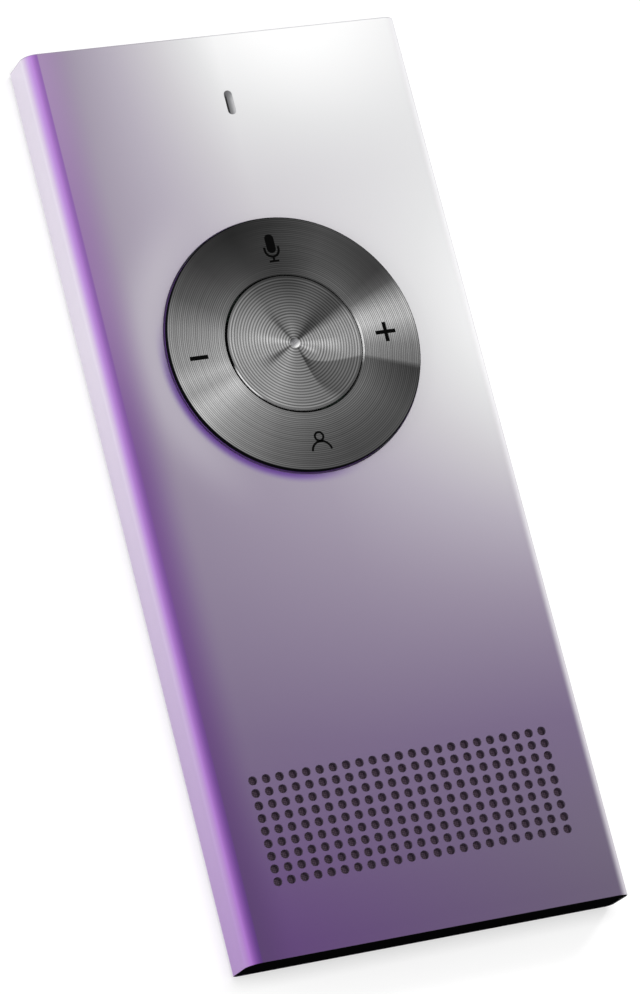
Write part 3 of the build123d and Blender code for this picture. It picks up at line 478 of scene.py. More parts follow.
    # a violet crescent on the front at the ring's lower left, where the raised ring keeps the light off
    facing = smooth(calc("DIVIDE", paint.toward(-0.7071, -0.7071), radius), 0.4, 0.95)
    beside = smooth(radius, ring_radius + 0.4 * MM, ring_radius + 1.6 * MM, 1.0, 0.0)
    on_front = smooth(z, front - 0.1 * MM, front - 0.05 * MM)
    colour = mixed(product(beside, facing, on_front), colour, srgb(116, 80, 160))
    return paint.grained(0.12, 0.0012, 0.02, colour)


def turned_finish(name, sectors, first=0.0, pitch=MM, contrast=0.0, inner_lift=0.0, spokes=(), fan=0.0):
    """Dark turned aluminium: the marks run round the centre, so its gloss is stretched across them.

    Its tone goes round by sectors of (degrees, display grey), which are painted reflections: bright wedges
    where the turning would catch the light and dark ones between. The inner lift, a painted sheen, adds to
    that by the square of the way in from the ring's outer edge. Each groove is darker at its bottom, as
    painted shade: tone (1 + contrast cos(2 pi (r - first) / pitch)), with r the distance from the centre.
    A spoke is (degrees, half width in degrees, radius where it is full, radius where it is gone, share), with
    its radii in millimetres. It darkens the tone by the share as painted shade, or brightens it as a painted
    highlight where the share is negative. The fan is a share of painted shade by which the tone is darker
    where u = ((degrees - 285) / 75)^((r / 9 mm)^1.5) lies between 0.25 and 0.72, with soft ends. Its edge is
    at 341 degrees outside and turns back further in."""
    gain = 1.05
    paint = Finish(name, (0.06,) * 3, 0.27, Metallic=1.0, Anisotropic=1.0)
    calc, product, linear, smooth = paint.calc, paint.product, paint.linear, paint.smooth
    radius = paint.ring_distance()
    x, y, _ = paint.axes()
    azimuth = calc("ARCTAN2", calc("SUBTRACT", y, ring_centre.y), x)
    around = calc("FRACT", calc("DIVIDE", azimuth, TURN))
    greys = shades(*((degrees / 360, grey, grey, grey) for degrees, grey in sectors))
    tone = paint.ramp(around, [(place, tuple(gain * channel for channel in grey)) for place, grey in greys])
    inward = linear(radius, ring_inner, ring_radius, 1.0, 0.0)
    tone = paint.total(tone, product(calc("POWER", inward, 2.0), inner_lift))
    inputs = {"W": radius, "Scale": 4000.0, "Detail": 2.0}
    lines = paint.add("ShaderNodeTexNoise", inputs, noise_dimensions="1D")
    varied = linear(lines.outputs["Fac"], 0.3, 0.7, 0.85, 1.15)
    turns = product(calc("SUBTRACT", radius, first), TURN / pitch)
    grooved = linear(calc("COSINE", turns), -1.0, 1.0, 1.0 - contrast, 1.0 + contrast)
    tone = product(tone, varied, grooved)
    for degrees, width, full, none, share in spokes:
        off = calc("ABSOLUTE", calc("SUBTRACT", around, degrees / 360))
        near = smooth(off, 0.0, width / 360, 1.0, 0.0)
        inside = smooth(radius, full * MM, none * MM, share, 0.0)
        tone = product(tone, calc("SUBTRACT", 1.0, product(near, inside)))
    if fan:
        bend = calc("POWER", calc("DIVIDE", radius, 9.0 * MM), 1.5)
        share = calc("POWER", linear(around, 285 / 360, 1.0), bend)
        shaded = product(smooth(share, 0.02, 0.25), smooth(share, 0.72, 0.76, 1.0, 0.0), fan)
        tone = product(tone, calc("SUBTRACT", 1.0, shaded))
    tangent = paint.add("ShaderNodeTangent", direction_type="UV_MAP", uv_map="turning").outputs["Tangent"]
    paint.wire(Base_Color=paint.grey(tone), Tangent=tangent)
    return paint.material


def dimple_finish():
    """The button's polished dimple, with painted shade on its upper left and a painted highlight on its lower
    right.
    """
    paint = Finish("polished_dimple_painted_shading", (0.3, 0.3, 0.3), 0.35, Metallic=0.6)
    across = paint.linear(paint.toward(0.5, -0.866), -dimple_radius, dimple_radius)
    stops = shades((0.0, 40, 40, 40), (0.3, 120, 120, 122), (0.62, 150, 150, 152), (0.9, 250, 250, 250))
    return paint.grained(0.1, 0.0005, 0.05, paint.ramp(across, stops))


def light_guide_finish():
    """Smoky clear plastic with painted shade: black along its left wall, then grey, paler towards its lower
    right end as painted light.
    """
    paint = Finish("smoky_light_guide", (0.2, 0.2, 0.21), 0.4, Specular_IOR_Level=0.2)
    x, y, _ = paint.axes()
    slot_end = slot_half + slot_radius
    along = paint.linear(y, slot_centre_y + slot_end, slot_centre_y - slot_end)
    across = paint.linear(x, -slot_radius, slot_radius)
    place = paint.product(across, paint.smooth(along, 0.0, 0.45, 0.5, 1.0))
    grey = paint.ramp(place, shades((0.1, 88, 88, 90), (0.5, 128, 128, 130), (1.0, 196, 196, 198)))
    shade = paint.product(paint.smooth(across, 0.14, 0.3, 1.0, 0.0), paint.smooth(along, 0.1, 0.34))
    return paint.grained(0.3, 0.0008, 0.05, paint.mixed(shade, grey, (0.004, 0.004, 0.004)))


def rim_finish():
    """Black moulding whose outer wall below the metal face carries a painted violet reflection of the sleeve,
    paler further down as painted light in the gap.
    """
    black = (0.004, 0.004, 0.005)
    paint = Finish("black_ring_rim", black, 0.6, Specular_IOR_Level=0.05)
    depth = paint.linear(paint.axes()["Z"], cap_underside + 0.01 * MM, cap_underside - 0.9 * MM)
    stops = [(0.42, black)] + shades((0.52, 128, 92, 170), (0.7, 128, 92, 170), (1.0, 220, 185, 250))
    outside = paint.smooth(paint.ring_distance(), 17.0 * MM, 17.5 * MM)
    return paint.grained(0.1, 0.002, 0.1, paint.mixed(outside, black, paint.ramp(depth, stops)))


def woven_finish(name, colour, thread):
    """A plain weave: the product of two sets of sine bands, one thread apart, as colour and bump. The thread
    is in millimetres."""
    paint = Finish(name, colour, 0.9, Specular_IOR_Level=0.1)
    weave = paint.product(*(paint.bands(1.0 / (thread * MM) / TURN, direction, 0.3) for direction in "XY"))
    return paint.patterned(weave, tuple(0.35 * channel for channel in colour), colour, thread / 5)


def circuit_board_finish():
    """Green solder mask over copper tracks: thin paler lines along the edges of a square cell pattern."""
    paint = Finish("green_solder_mask", (0.02, 0.12, 0.07), 0.3)
    track = paint.smooth(paint.cells(420.0, 0.7, "DISTANCE_TO_EDGE"), 0.04, 0.08, 1.0, 0.0)
    return paint.patterned(track, (0.012, 0.09, 0.05), (0.04, 0.2, 0.11), 0.02)


def wound_wire_finish():
    """Enamelled copper wire wound in level turns: bright and dark bands up the winding, a painted highlight
    on each turn and painted shade between the turns.
    """
    paint = Finish("enamelled_copper_wire", (0.62, 0.3, 0.16), 0.3, Metallic=1.0)
    return paint.patterned(paint.bands(1600.0, "Z"), (0.3, 0.12, 0.05), (0.7, 0.34, 0.18), 0.03)


def foam_finish():
    """Open-cell foam: small round cells, dark inside as painted shade."""
    paint = Finish("open_cell_foam", (0.03, 0.03, 0.03), 0.95, Specular_IOR_Level=0.1)
    return paint.patterned(paint.cells(3500.0), (0.01, 0.01, 0.01), (0.05, 0.05, 0.05), 0.1)


def moulded(name, colour, roughness, grain=0.1, depth=0.002, spread=0.15, **sockets):
    """A moulded or coated surface with grain of this size and depth in millimetres."""
    return Finish(name, colour, roughness, **sockets).grained(grain, depth, spread)


# painted reflections on the turned metal: each sector's grey is bright where the turning would catch the
# light and dark between; spokes darken as painted shade or brighten as painted highlights; the bevels' 250s
# are painted glints
ring_reflection_sectors = [
    (0, 143), (6, 168), (13, 160), (18, 130), (24, 76), (31, 58), (62, 71), (88, 50), (108, 38),
    (130, 55), (150, 84), (165, 123), (184, 137), (191, 160), (198, 146), (205, 174), (211, 166),
    (217, 146), (228, 123), (246, 96), (264, 80), (285, 71), (318, 77), (341, 57), (343, 106),
    (352, 114), (360, 143),
]
ring_painted_spokes = [(85, 50, 10.5, 16.0, 0.5)]
button_reflection_sectors = [
    (0, 142), (18, 130), (30, 70), (40, 72), (62, 100), (90, 108), (114, 104), (126, 120), (150, 144),
    (175, 150), (200, 136), (235, 146), (258, 124), (285, 112), (320, 132), (360, 142),
]
button_painted_spokes = [
    (40, 16, 2.8, 7.0, 0.25), (120, 10, 2.0, 7.0, 0.45), (206, 13, 2.6, 7.0, 0.65),
    (290, 11, 2.0, 5.0, 0.5), (82, 44, 9.5, 2.5, 0.55), (115, 65, 9.5, 5.5, 0.35),
    (165, 14, 2.0, 8.5, -0.4), (350, 16, 5.0, 8.0, -0.4), (330, 14, 2.2, 4.0, -0.7),
    (88, 30, 2.0, 4.5, -0.3),
]
bevel_glint_sectors = [
    (0, 250), (8, 250), (20, 120), (40, 80), (90, 66), (150, 80), (175, 60), (300, 60), (335, 110),
    (345, 250), (360, 250),
]
button_edge_glint_sectors = [
    (0, 110), (40, 70), (120, 60), (150, 25), (192, 25), (199, 250), (220, 250), (230, 120), (300, 90),
    (360, 110),
]
first_ring_mark = ring_inner + inner_chamfer
first_button_mark = dimple_radius + dimple_rim
ring_metal = turned_finish(
    "dark_turned_ring_painted_reflections", ring_reflection_sectors, first_ring_mark, ring_pitch, 0.4, inner_lift=0.07, spokes=ring_painted_spokes
)
button_metal = turned_finish(
    "dark_turned_button_painted_reflections", button_reflection_sectors, first_button_mark, button_pitch, 0.5, spokes=button_painted_spokes, fan=0.5
)
bevel_metal = turned_finish("turned_bevel_painted_glints", bevel_glint_sectors)
button_edge_metal = turned_finish("turned_button_edge_painted_glints", button_edge_glint_sectors)
satin_sleeve = satin_sleeve_finish()
rim_plastic = rim_finish()
dimple_metal = dimple_finish()
smoky_plastic = light_guide_finish()
# the cloth's violet grey is paler than its black, as painted light in the shade of the holes
acoustic_cloth = woven_finish("black_acoustic_cloth", (0.15, 0.105, 0.15), 0.12)
black_moulding = moulded("black_moulded_plastic", (0.003, 0.003, 0.0035), 0.8, Specular_IOR_Level=0.0)
# plain black on the sleeve's aluminium end faces and on the ring face's outer bevel, side and underside, as
# painted shade
black_end = moulded("black_end_painted_shade", (0.004, 0.004, 0.005), 0.8, Specular_IOR_Level=0.0)
sign_ink = moulded("sign_ink", (0.003, 0.003, 0.003), 0.8, grain=0.05, depth=0.0005, Specular_IOR_Level=0.0)
finishes = {
    "lilac_aluminium": satin_sleeve,
    "turned_aluminium": ring_metal,
    "black_moulding": black_moulding,
    "grey_moulding": moulded("glass_filled_nylon", (0.09, 0.09, 0.1), 0.5, grain=0.15, depth=0.006),
    "board_green": circuit_board_finish(),
    "chip_black": moulded("chip_package", (0.03, 0.03, 0.032), 0.55, grain=0.05),
    "steel": moulded("stamped_steel", (0.62, 0.62, 0.63), 0.3, grain=0.3, spread=0.08, Metallic=1.0),
    "pouch_foil": moulded(
        "pouch_foil", (0.66, 0.67, 0.69), 0.3, grain=3.0, depth=0.05, spread=0.06, Metallic=0.9
    ),
    "gold_lid": moulded("plated_lid", (0.72, 0.58, 0.28), 0.25, grain=0.2, spread=0.06, Metallic=1.0),
    "light_diffuser": smoky_plastic,
    "lamp_package": moulded("lamp_package", (0.85, 0.85, 0.78), 0.15, grain=0.2, spread=0.04),
    "speaker_film": moulded("pressed_film", (0.16, 0.15, 0.15), 0.35, grain=0.4, depth=0.01),
    "copper_winding": wound_wire_finish(),
    "black_foam": foam_finish(),
    "black_cloth": acoustic_cloth,
    "soft_rubber": moulded("moulded_silicone", (0.05, 0.05, 0.05), 0.6, grain=0.2),
    "thermal_rubber": moulded("filled_silicone", (0.45, 0.5, 0.55), 0.7, grain=0.25, depth=0.008),
    "lead_red": moulded("red_insulation", (0.55, 0.03, 0.03), 0.4, grain=0.3),
    "lead_black": moulded("black_insulation", (0.02, 0.02, 0.02), 0.4, grain=0.3),
    "plug_white": moulded("white_nylon", (0.78, 0.76, 0.7), 0.4, spread=0.05),
    "tape_white": moulded("white_adhesive_tape", (0.75, 0.75, 0.74), 0.5, grain=0.5, spread=0.05),
}


# ------------ sleeve
def casing_section(x_lines):
    """The casing's outer section, going round it from the front's left tangent line, as places and outward
    normals. Each corner is a quarter arc: centre + radius (cos a, sin a)."""
    arc_steps = 12
    side_steps = 4
    back_steps = 10
    flat = half_width - front_rounding
    back_flat = half_width - back_rounding
    high = front - front_rounding

    def arc(centre, radius, start, end):
        angle = np.radians(np.linspace(start, end, arc_steps + 1))
        normal = np.stack([np.cos(angle), np.sin(angle)], axis=-1)
        return np.array(centre) + radius * normal, normal

    def line(start, end, steps, normal):
        places = np.linspace(start, end, steps + 1)
        return places, np.broadcast_to(np.array(normal, float), places.shape)

    front_places = np.stack([x_lines, np.full(len(x_lines), front)], axis=-1)
    runs = [
        (front_places, np.broadcast_to(np.array([0.0, 1.0]), front_places.shape)),
        arc((flat, high), front_rounding, 90, 0),
        line((half_width, high), (half_width, back_rounding), side_steps, (1, 0)),
        arc((back_flat, back_rounding), back_rounding, 0, -90),
        line((back_flat, 0.0), (-back_flat, 0.0), back_steps, (0, -1)),
        arc((-back_flat, back_rounding), back_rounding, -90, -180),
        line((-half_width, back_rounding), (-half_width, high), side_steps, (-1, 0)),
        arc((-flat, high), front_rounding, 180, 90),
    ]
    return tuple(np.vstack([runs[0][i]] + [run[i][1:] for run in runs[1:]])[:-1] for i in (0, 1))


def hole_patches(centres, border, straight, radius):
    """The front wall round holes: from the border on the front, down the hole's wall, to the border inside.
    A hole's outline is its nearest axis point + radius (direction to the border point)."""
    axis, direction = from_core(border, 0.0, straight)
    rows = [
        (border, front),
        (axis + (radius + hole_bevel) * direction, front),
        (axis + radius * direction, front - hole_bevel),
        (axis + radius * direction, front - wall),
        (border, front - wall),
    ]
    template = levelled(rows)
    template_faces = grid_faces(*template.shape[:2], close_columns=True)
    centres = np.column_stack([np.asarray(centres, float), np.zeros(len(centres))])
    points = centres[:, None, None, :] + template[None]
    size = template.shape[0] * template.shape[1]
    faces = template_faces[None] + size * np.arange(len(centres))[:, None, None]
    return points.reshape(-1, 3), faces.reshape(-1, 4)


def sleeve_piece():
    """The extruded sleeve. Its surface is section(u) - inset(w) normal(u), at y(w), closed both ways: w runs
    along the outside, round the lip, into the mouth and back along the inside. Patches with holes fill the
    places left open on the front."""
    cell = 4  # grid steps across each grille cell
    step_x = grille_pitch_x / cell
    ring_steps_x = 82
    ring_steps_y = 64
    slot_steps_x = 6
    slot_steps_y = 12
    ring_half = ring_steps_x / 2 * step_x
    slot_half_x = slot_steps_x / 2 * step_x
    slot_half_y = 2.4 * MM
    grille_half_x = grille_columns * grille_pitch_x / 2
    grille_half_y = grille_rows * grille_pitch_y / 2
    inner_end = half_length - mouth_depth
    edge = half_width - front_rounding
    dense_x = step_x * np.arange(-grille_columns * cell // 2, grille_columns * cell // 2 + 1)
    margin_x = np.array([22.7, 23.9, 24.9, 25.35]) * MM
    x_lines = np.concatenate([[-edge], -margin_x[::-1], dense_x, margin_x, [edge]])
    between_y = np.array([-60.0, -57.5, -30.0, -20.0, -10.0, 41.0, 46.0, 58.0, 60.5]) * MM
    y_parts = [
        [-inner_end, inner_end],
        between_y,
        grille_centre_y + np.linspace(-grille_half_y, grille_half_y, grille_rows * cell + 1),
        ring_centre.y + np.linspace(-ring_half, ring_half, ring_steps_y + 1),
        slot_centre_y + np.linspace(-slot_half_y, slot_half_y, slot_steps_y + 1),
    ]
    y_lines = np.unique(np.round(np.concatenate(y_parts), 9))
    outer = [(-half_length, lip_bevel), (lip_bevel - half_length, 0.0)]
    outer += [(y, 0.0) for y in y_lines]
    outer += [(half_length - lip_bevel, 0.0), (half_length, lip_bevel)]
    mouth = [(half_length, mouth_lip), (inner_end, mouth_lip)]
    inner = [(y, wall) for y in y_lines[::-1]]
    foot = [(-inner_end, mouth_lip), (-half_length, mouth_lip)]
    path = np.array(outer + mouth + inner + foot)

    places, normals = casing_section(x_lines)
    section = places[None] - path[:, 1][:, None, None] * normals[None]
    along = np.broadcast_to(path[:, 0][:, None], section.shape[:2])
    points = np.stack([section[..., 0], along, section[..., 1]], axis=-1)
    faces = grid_faces(len(path), len(places), close_rows=True, close_columns=True)

    # leave out the quads of the front where a hole's patch goes
    flat_points = points.reshape(-1, 3)
    middle = flat_points[faces].mean(axis=1)
    on_front = middle[:, 2] > front - wall - lip_bevel
    upright = np.ptp(flat_points[faces][:, :, 2], axis=1) < lip_bevel / 4
    blocks = [
        (0.0, grille_centre_y, grille_half_x, grille_half_y),
        (ring_centre.x, ring_centre.y, ring_half, ring_half),
        (0.0, slot_centre_y, slot_half_x, slot_half_y),
    ]
    cut = np.zeros(len(faces), bool)
    for centre_x, centre_y, half_x, half_y in blocks:
        inside = (np.abs(middle[:, 0] - centre_x) < half_x) & (np.abs(middle[:, 1] - centre_y) < half_y)
        cut |= inside & on_front & upright
    faces = faces[~cut]

    columns = centred(grille_columns, grille_pitch_x)
    rows = grille_centre_y + centred(grille_rows, grille_pitch_y)
    holes = np.stack(np.meshgrid(columns, rows), axis=-1).reshape(-1, 2)
    cell_border = perimeter(grille_pitch_x / 2, grille_pitch_y / 2, cell, cell)
    ring_border = perimeter(ring_half, ring_half, ring_steps_x, ring_steps_y)
    slot_border = perimeter(slot_half_x, slot_half_y, slot_steps_x, slot_steps_y)
    parts = [
        (flat_points, faces),
        hole_patches(holes, cell_border, 0.0, grille_hole),
        hole_patches([ring_centre], ring_border, 0.0, ring_radius + opening_gap),
        hole_patches([(0.0, slot_centre_y)], slot_border, slot_half, slot_radius),
    ]
    piece = finished_mesh("anodised_sleeve", satin_sleeve, *joined(parts), sharp_degrees=25.0)
    # the sleeve's end faces get the black painted shade
    second_material(piece, black_end, lambda middles: np.abs(middles[:, 1]) > half_length - lip_bevel / 4)
    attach(piece, "casing")
    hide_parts("sleeve")


def dust_mesh_piece():
    """The woven mesh behind the holes: a rounded rectangle, its outline = nearest corner-arc centre + radius
    (direction), filled from the middle outwards at its top and its underside."""
    half_x = (mesh_high.x - mesh_low.x) / 2
    half_y = (mesh_high.y - mesh_low.y) / 2
    corner = 1.0 * MM
    centres, direction = from_core(perimeter(half_x, half_y, 46, 22), half_x - corner, half_y - corner)
    outline = centres + corner * direction
    rows = [(0.0, mesh_high.z), (1.0, mesh_high.z), (1.0, mesh_low.z), (0.0, mesh_low.z)]
    points = levelled([(share * outline, level) for share, level in rows], (0.0, grille_centre_y))
    faces = grid_faces(len(rows), len(outline), close_columns=True)[:, ::-1]
    piece = finished_mesh("woven_dust_mesh", acoustic_cloth, points, faces)
    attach(piece, "casing")
    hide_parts("dust_mesh")


# ------------ control ring and centre button
def ring_piece():
    """The turned face of the control ring, with grooves, bevelled edges and a flat underside."""
    face = disc_top - print_height
    top = grooved_face(first_ring_mark, ring_radius - cap_chamfer, face, ring_groove, ring_pitch, 6)
    edges = [(ring_radius, face - cap_chamfer), (ring_radius, cap_underside)]
    edges += [(ring_inner, cap_underside), (ring_inner, face - inner_chamfer)]
    face_and_edges = turned(np.vstack([top, edges]), ring_centre, 240, closed=True)
    piece = finished_mesh("turned_ring_face", ring_metal, *face_and_edges)
    # the ring face's outer bevel, side and underside get the black painted shade
    second_material(piece, black_end, lambda middles: middles[:, 2] < face - 0.4 * cap_chamfer)
    # the inner bevel's tones are painted glints
    second_material(piece, bevel_metal, lambda middles: from_ring(middles) < ring_inner + 0.9 * inner_chamfer)
    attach(piece, "control_ring")
    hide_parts("ring_cap")
    return piece


def rim_piece():
    """The moulded rim under the ring's face: a plate on three round walls, with four round pegs."""
    plate_top = rim_high.z
    plate_low = plate_top - 0.8 * MM
    wall_low = plate_low - 1.029 * MM
    channels = np.array([(10.71, 13.7), (14.7, 16.95)]) * MM  # between the walls
    peg_radius = 0.8 * MM
    peg_circle = 16.125 * MM
    peg_top = plate_low + 0.1 * MM
    profile = [(ring_radius, wall_low), (ring_radius, plate_top)]
    profile += [(ring_inner, plate_top), (ring_inner, wall_low)]
    for start, end in channels:
        profile += [(start, wall_low), (start, plate_low), (end, plate_low), (end, wall_low)]
    parts = [turned(profile[::-1], ring_centre, 192, closed=True)]
    peg = [(0.0, peg_top), (peg_radius, peg_top), (peg_radius, rim_low.z), (0.0, rim_low.z)]
    for place in arc_path(ring_centre, peg_circle, 45, 315, 3):
        parts.append(turned(peg, place, 32))
    piece = finished_mesh("moulded_ring_rim", rim_plastic, *joined(parts))
    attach(piece, "control_ring")
    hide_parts("ring_rim")


def button_piece():
    """The turned face of the button: a round dimple in the middle, grooves, a bevelled edge. The dimple is
    part of a sphere: level = top + sphere - depth - sqrt(sphere^2 - r^2), with sphere its radius."""
    sphere = (dimple_radius**2 + dimple_depth**2) / (2 * dimple_depth)
    across = np.linspace(0.0, dimple_radius, 9)
    dimple = np.stack([across, disc_top + sphere - dimple_depth - np.sqrt(sphere**2 - across**2)], axis=-1)
    rim = button_radius - cap_chamfer
    top = grooved_face(first_button_mark, rim, disc_top, button_groove, button_pitch, 9)
    edges = [(button_radius, disc_top - cap_chamfer), (button_radius, cap_underside), (0.0, cap_underside)]
    face_and_edges = turned(np.vstack([dimple, top, edges]), ring_centre, 192)
    piece = finished_mesh("turned_button_face", button_metal, *face_and_edges)
    second_material(piece, dimple_metal, lambda middles: from_ring(middles) < dimple_radius)
    # the outer bevel's tones are painted glints
    second_material(piece, button_edge_metal, lambda middles: from_ring(middles) > rim + 0.1 * cap_chamfer)
    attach(piece, "centre_button")
    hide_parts("button_cap")
    return piece


def snap_domes(name, replaced):
    """Pressed steel snap domes in the places of a CAD node's: z = board + h (1 - (r / R)^2), with the sheet's
    underside below it."""
    low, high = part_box(replaced)
    radius = 2.5 * MM
    sheet = 0.1 * MM
    height = high.z - low.z
    outer = np.linspace(0.0, 1.0, 13)
    risen = 1 - outer**2
    top = np.stack([radius * outer, low.z + height * risen], axis=-1)
    under = np.stack([(radius - 2.5 * sheet) * outer, low.z + (height - sheet) * risen], axis=-1)
    profile = np.vstack([top, under[::-1]])
    reach_x = (high.x - low.x) / 2 - radius
    reach_y = (high.y - low.y) / 2 - radius
    middle = np.array([(low.x + high.x) / 2, (low.y + high.y) / 2])
    pair = max(reach_x, reach_y) > radius
    offsets = [(-reach_x, -reach_y), (reach_x, reach_y)] if pair else [(0.0, 0.0)]
    domes = joined([turned(profile, middle + np.array(offset), 48) for offset in offsets])
    piece = finished_mesh(name, finishes["steel"], *domes)
    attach(piece, "casing")
    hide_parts(replaced)
    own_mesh(piece)


# ------------ printed signs
def bar(path, widths, closed=False):
    """A thin printed bar: path(s) + t width(s) normal(s) for t from -1/2 to 1/2, with a top and a bottom."""
    widths = np.broadcast_to(np.asarray(widths, float), len(path))
    if closed:
        along = np.roll(path, -1, axis=0) - np.roll(path, 1, axis=0)
    else:
        along = np.gradient(path, axis=0)
    along /= np.hypot(*along.T)[:, None]
    normal = np.stack([-along[:, 1], along[:, 0]], axis=-1)
    left = path + normal * widths[:, None] / 2
    right = path - normal * widths[:, None] / 2
    low = disc_top - print_depth
    points = levelled([(left, low), (left, disc_top), (right, disc_top), (right, low)]).transpose(1, 0, 2)
    faces = grid_faces(len(path), 4, close_rows=closed, close_columns=True)[:, ::-1]
    if not closed:
        last = 4 * (len(path) - 1)
        faces = np.vstack([faces, [[0, 1, 2, 3]], [[last + 3, last + 2, last + 1, last]]])
    return points.reshape(-1, 3), faces


def arc_path(centre, radius, start, end, steps=24):
    """Points on an arc: centre + radius (cos a, sin a)."""
    angle = np.radians(np.linspace(start, end, steps + 1))
    return np.array(centre) + radius * np.stack([np.cos(angle), np.sin(angle)], axis=-1)


def sign_piece(name, bars):
    """Bars of (path, width) or (path, width, True for a closed one), in millimetres from the ring's centre,
    joined into one printed sign."""
    parts = []
    for path, widths, *closed in bars:
        path = np.asarray(path, float) * MM + np.array(ring_centre)
        parts.append(bar(path, np.asarray(widths, float) * MM, *closed))
    piece = finished_mesh(name, sign_ink, *joined(parts))
    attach(piece, "control_ring")


def signs():
    """Plus, minus, a microphone and a person, one at each quarter of the ring."""
    stroke = 0.54
    thin_stroke = 0.3
    plus_x, plus_y = 13.30, -0.15
    plus_reach_x, plus_reach_y = 1.45, 1.38
    minus_x, minus_y = -13.95, -0.32
    minus_reach = 1.3
    plus = [
        ([(plus_x - plus_reach_x, plus_y), (plus_x + plus_reach_x, plus_y)], stroke),
        ([(plus_x, plus_y + stroke / 2), (plus_x, plus_y + plus_reach_y)], stroke),
        ([(plus_x, plus_y - plus_reach_y), (plus_x, plus_y - stroke / 2)], stroke),
    ]
    sign_piece("plus_sign", plus)
    minus = [(minus_x - minus_reach, minus_y), (minus_x + minus_reach, minus_y)]
    sign_piece("minus_sign", [(minus, 0.58)])
    # the microphone: a capsule, 2 sqrt(R^2 - (R - d)^2) wide at a distance d < R from its end, then a
    # cradle, a stem and a foot
    mic_x = 0.12
    capsule_radius = 0.65
    capsule_low, capsule_high = 12.86, 15.57
    capsule_y = np.linspace(capsule_low, capsule_high, 33)
    from_end = np.minimum(capsule_y - capsule_low, capsule_high - capsule_y)
    short = np.clip(capsule_radius - from_end, 0, None)
    capsule_width = 2 * np.sqrt(np.clip(capsule_radius**2 - short**2, 1e-4, None))
    capsule = np.stack([np.full(len(capsule_y), mic_x), capsule_y], axis=-1)
    cradle_arc = arc_path((mic_x, 13.35), 1.0, 180, 360, 20)
    cradle = np.vstack([[[mic_x - 1.0, 13.75]], cradle_arc, [[mic_x + 1.0, 13.75]]])
    microphone = [
        (capsule, capsule_width),
        (cradle, 0.33),
        ([(mic_x, 12.2), (mic_x, 11.85)], 0.32),
        ([(mic_x - 0.7, 11.71), (mic_x + 0.7, 11.71)], 0.28),
    ]
    sign_piece("microphone_sign", microphone)
    person_y = -14.0
    person = [
        (arc_path((0.0, person_y + 0.68), 0.6, 0, 360, 28)[:-1], thin_stroke, True),
        (arc_path((0.0, person_y - 1.4), 1.4, 6, 174), thin_stroke),
    ]
    sign_piece("person_sign", person)


# ------------ light guide
def light_guide_piece():
    """A domed smoky bar in the slot: z = crown - drop (1 - sqrt(1 - t^2)) across its outline, t from 0 at its
    axis to 1 at its edge, over a straight leg with a flange that reaches the lamp."""
    axis, direction = from_core(perimeter(0.5 * MM, 1.7 * MM, 12, 24), 0.0, slot_half)
    radius = slot_radius - 0.01 * MM
    crown = front - 0.02 * MM
    drop = 0.04 * MM
    flange = radius + 0.7 * MM
    flange_top = front - wall
    flange_low = flange_top - 0.4 * MM
    share = np.sin(np.linspace(0.0, np.pi / 2, 10))
    levels = crown - drop * (1 - np.sqrt(1 - np.minimum(share, 1.0) ** 2))
    rows = [(axis + radius * t * direction, level) for t, level in zip(share, levels)]
    leg = [(radius, flange_top), (flange, flange_top), (flange, flange_low), (radius, flange_low)]
    leg += [(radius, guide_low.z), (0.0, guide_low.z)]
    rows += [(axis + reach * direction, level) for reach, level in leg]
    points = levelled(rows, (0.0, slot_centre_y))
    faces = grid_faces(*points.shape[:2], close_columns=True)[:, ::-1]
    piece = finished_mesh("domed_light_guide", smoky_plastic, points, faces)
    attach(piece, "casing")
    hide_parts("light_guide")


sleeve_piece()
dust_mesh_piece()
turned_faces = [ring_piece(), button_piece()]
rim_piece()
snap_domes("centre_snap_dome", "centre_dome")
snap_domes("talk_snap_domes", "talk_domes")
snap_domes("volume_snap_domes", "volume_domes")
signs()
light_guide_piece()

# ------------ the CAD pieces that stay get their finishes
for row in frame["record"]["subparts"]:
    materials = frame["nodes"][row["node"]].data.materials
    materials.clear()
    materials.append(finishes[row["material_slot"]])


# ------------ stage, lights and camera
def seen_by_viewer(owner):
    """1 for rays from the camera, a reflection or a clear surface, 0 for the others."""
    path = node(owner, "ShaderNodeLightPath").outputs
    seen = path["Is Camera Ray"]
    for kind in ("Is Glossy Ray", "Is Transmission Ray"):
        seen = node(owner, "ShaderNodeMath", {0: seen, 1: path[kind]}, operation="MAXIMUM").outputs[0]
    return seen


def plain_world(ambient):
    """A surround that the viewer sees as plain white and that lights the object with the ambient strength."""
    world = bpy.data.worlds.new("studio")
    bpy.context.scene.world = world
    world.use_nodes = True
    background = world.node_tree.nodes["Background"]
    background.inputs["Color"].default_value = (1.0, 1.0, 1.0, 1.0)
    strength = ranged(world, seen_by_viewer(world), 0.0, 1.0, ambient, 1.0)
    world.node_tree.links.new(strength, background.inputs["Strength"])


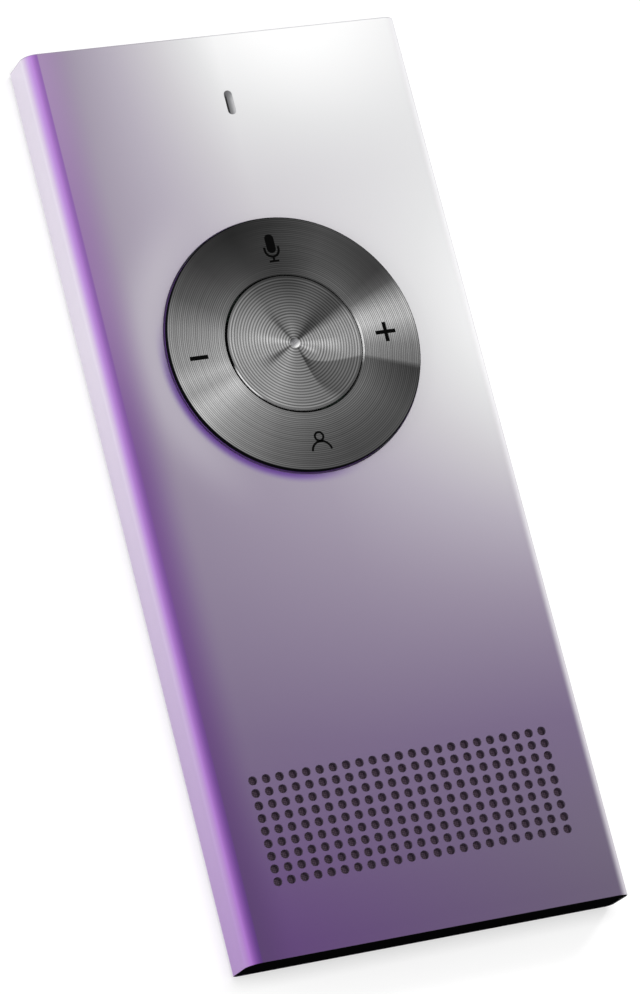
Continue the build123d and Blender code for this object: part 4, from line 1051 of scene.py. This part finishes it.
def floor():
    """A plain pale floor that keeps the shadow: a diffuse white with a little extra white for the viewer, and
    wholly white away from the object. From below it is clear, so that the back can be seen."""
    level = -0.02 * MM
    reach = 6.0
    near_white = 0.47
    white = (1.0, 1.0, 1.0, 1.0)
    paint = Finish("pale_floor", (0.6, 0.6, 0.6), 0.9, Specular_IOR_Level=0.0, Emission_Color=white)
    away = paint.add("ShaderNodeVectorMath", {0: paint.place}, operation="LENGTH").outputs["Value"]
    extra = paint.linear(away, 0.11, 0.24, near_white, 1.0)
    paint.wire(Emission_Strength=paint.product(seen_by_viewer(paint.material), extra))
    below = paint.add("ShaderNodeNewGeometry").outputs["Backfacing"]
    clear = paint.add("ShaderNodeBsdfTransparent").outputs["BSDF"]
    either = paint.add("ShaderNodeMixShader", {0: below, 1: paint.shader.outputs["BSDF"], 2: clear})
    surface = paint.material.node_tree.nodes["Material Output"].inputs["Surface"]
    paint.material.node_tree.links.new(either.outputs["Shader"], surface)
    corners = [(-reach, -reach, level), (reach, -reach, level), (reach, reach, level), (-reach, reach, level)]
    plane = finished_mesh("floor", paint.material, corners, [(0, 1, 2, 3)])


def area_lamp(name, direction, distance, side, power, unseen_by="glossy", pieces=(), state="INCLUDE"):
    """A soft square lamp in this direction and distance from the ring, turned towards it and not seen itself.
    With pieces named, it lights those alone, or all but those. Rays of the kind in unseen_by miss it."""
    lamp = bpy.data.lights.new(name, "AREA")
    lamp.shape = "SQUARE"
    lamp.size = side
    lamp.energy = power
    obj = bpy.data.objects.new(name, lamp)
    aim = Vector((ring_centre.x, ring_centre.y, disc_top))
    away = Vector(direction).normalized()
    turn = (-away).to_track_quat("-Z", "Y").to_matrix().to_4x4()
    obj.matrix_world = Matrix.Translation(aim + distance * away) @ turn
    obj.visible_camera = False
    if unseen_by:
        setattr(obj, "visible_" + unseen_by, False)
    bpy.context.scene.collection.objects.link(obj)
    if pieces:
        lit = bpy.data.collections.new(name + "_pieces")
        for piece in pieces:
            lit.objects.link(piece)
        for entry in lit.collection_objects:
            entry.light_linking.link_state = state
        obj.light_linking.receiver_collection = lit


def glint_lamp(name, azimuth, tilt, distance, side, power, pieces):
    """A lamp whose glint on turned metal lies along this azimuth, in degrees. Its direction is
    2 (h . v) h - v, with v towards the viewer and h tilted from upright towards the azimuth."""
    viewer = (Vector(camera_place) - Vector((ring_centre.x, ring_centre.y, disc_top))).normalized()
    a, t = np.radians(azimuth), np.radians(tilt)
    halfway = Vector((np.sin(t) * np.cos(a), np.sin(t) * np.sin(a), np.cos(t)))
    area_lamp(name, 2 * halfway.dot(viewer) * halfway - viewer, distance, side, power, None, pieces)


def camera():
    """The viewing angle: right, up and backward axes, and the place, in the object's frame."""
    data = bpy.data.cameras.new("camera")
    data.lens = 174.16
    data.sensor_width = 36.0
    data.clip_start = 0.01
    data.clip_end = 50.0
    obj = bpy.data.objects.new("camera", data)
    right = Vector((0.91074, -0.24261, 0.33420))
    up = Vector((0.13545, 0.93996, 0.31324))
    turn = Matrix((right, up, right.cross(up))).transposed().to_4x4()
    obj.matrix_world = Matrix.Translation(Vector(camera_place)) @ turn
    bpy.context.scene.collection.objects.link(obj)
    bpy.context.scene.camera = obj


plain_world(0.34)
floor()
key_direction = (0.62, 0.48, 0.62)
for name, power, unseen_by in (("key", 3.4, "glossy"), ("key_gloss", 0.5, "diffuse")):
    area_lamp(name, key_direction, 1.2, 0.19, power, unseen_by, turned_faces, "EXCLUDE")
area_lamp("top_fill", (0.0, 0.0, 1.0), distance=1.2, side=0.6, power=7.4)
area_lamp("left_fill", (-0.95, 0.1, 0.2), distance=1.0, side=0.5, power=5.0)
glint_lamp("glint_across", 3.0, 18.0, distance=0.6, side=0.22, power=0.2, pieces=turned_faces)
camera()
bpy.context.scene.view_settings.view_transform = "Standard"
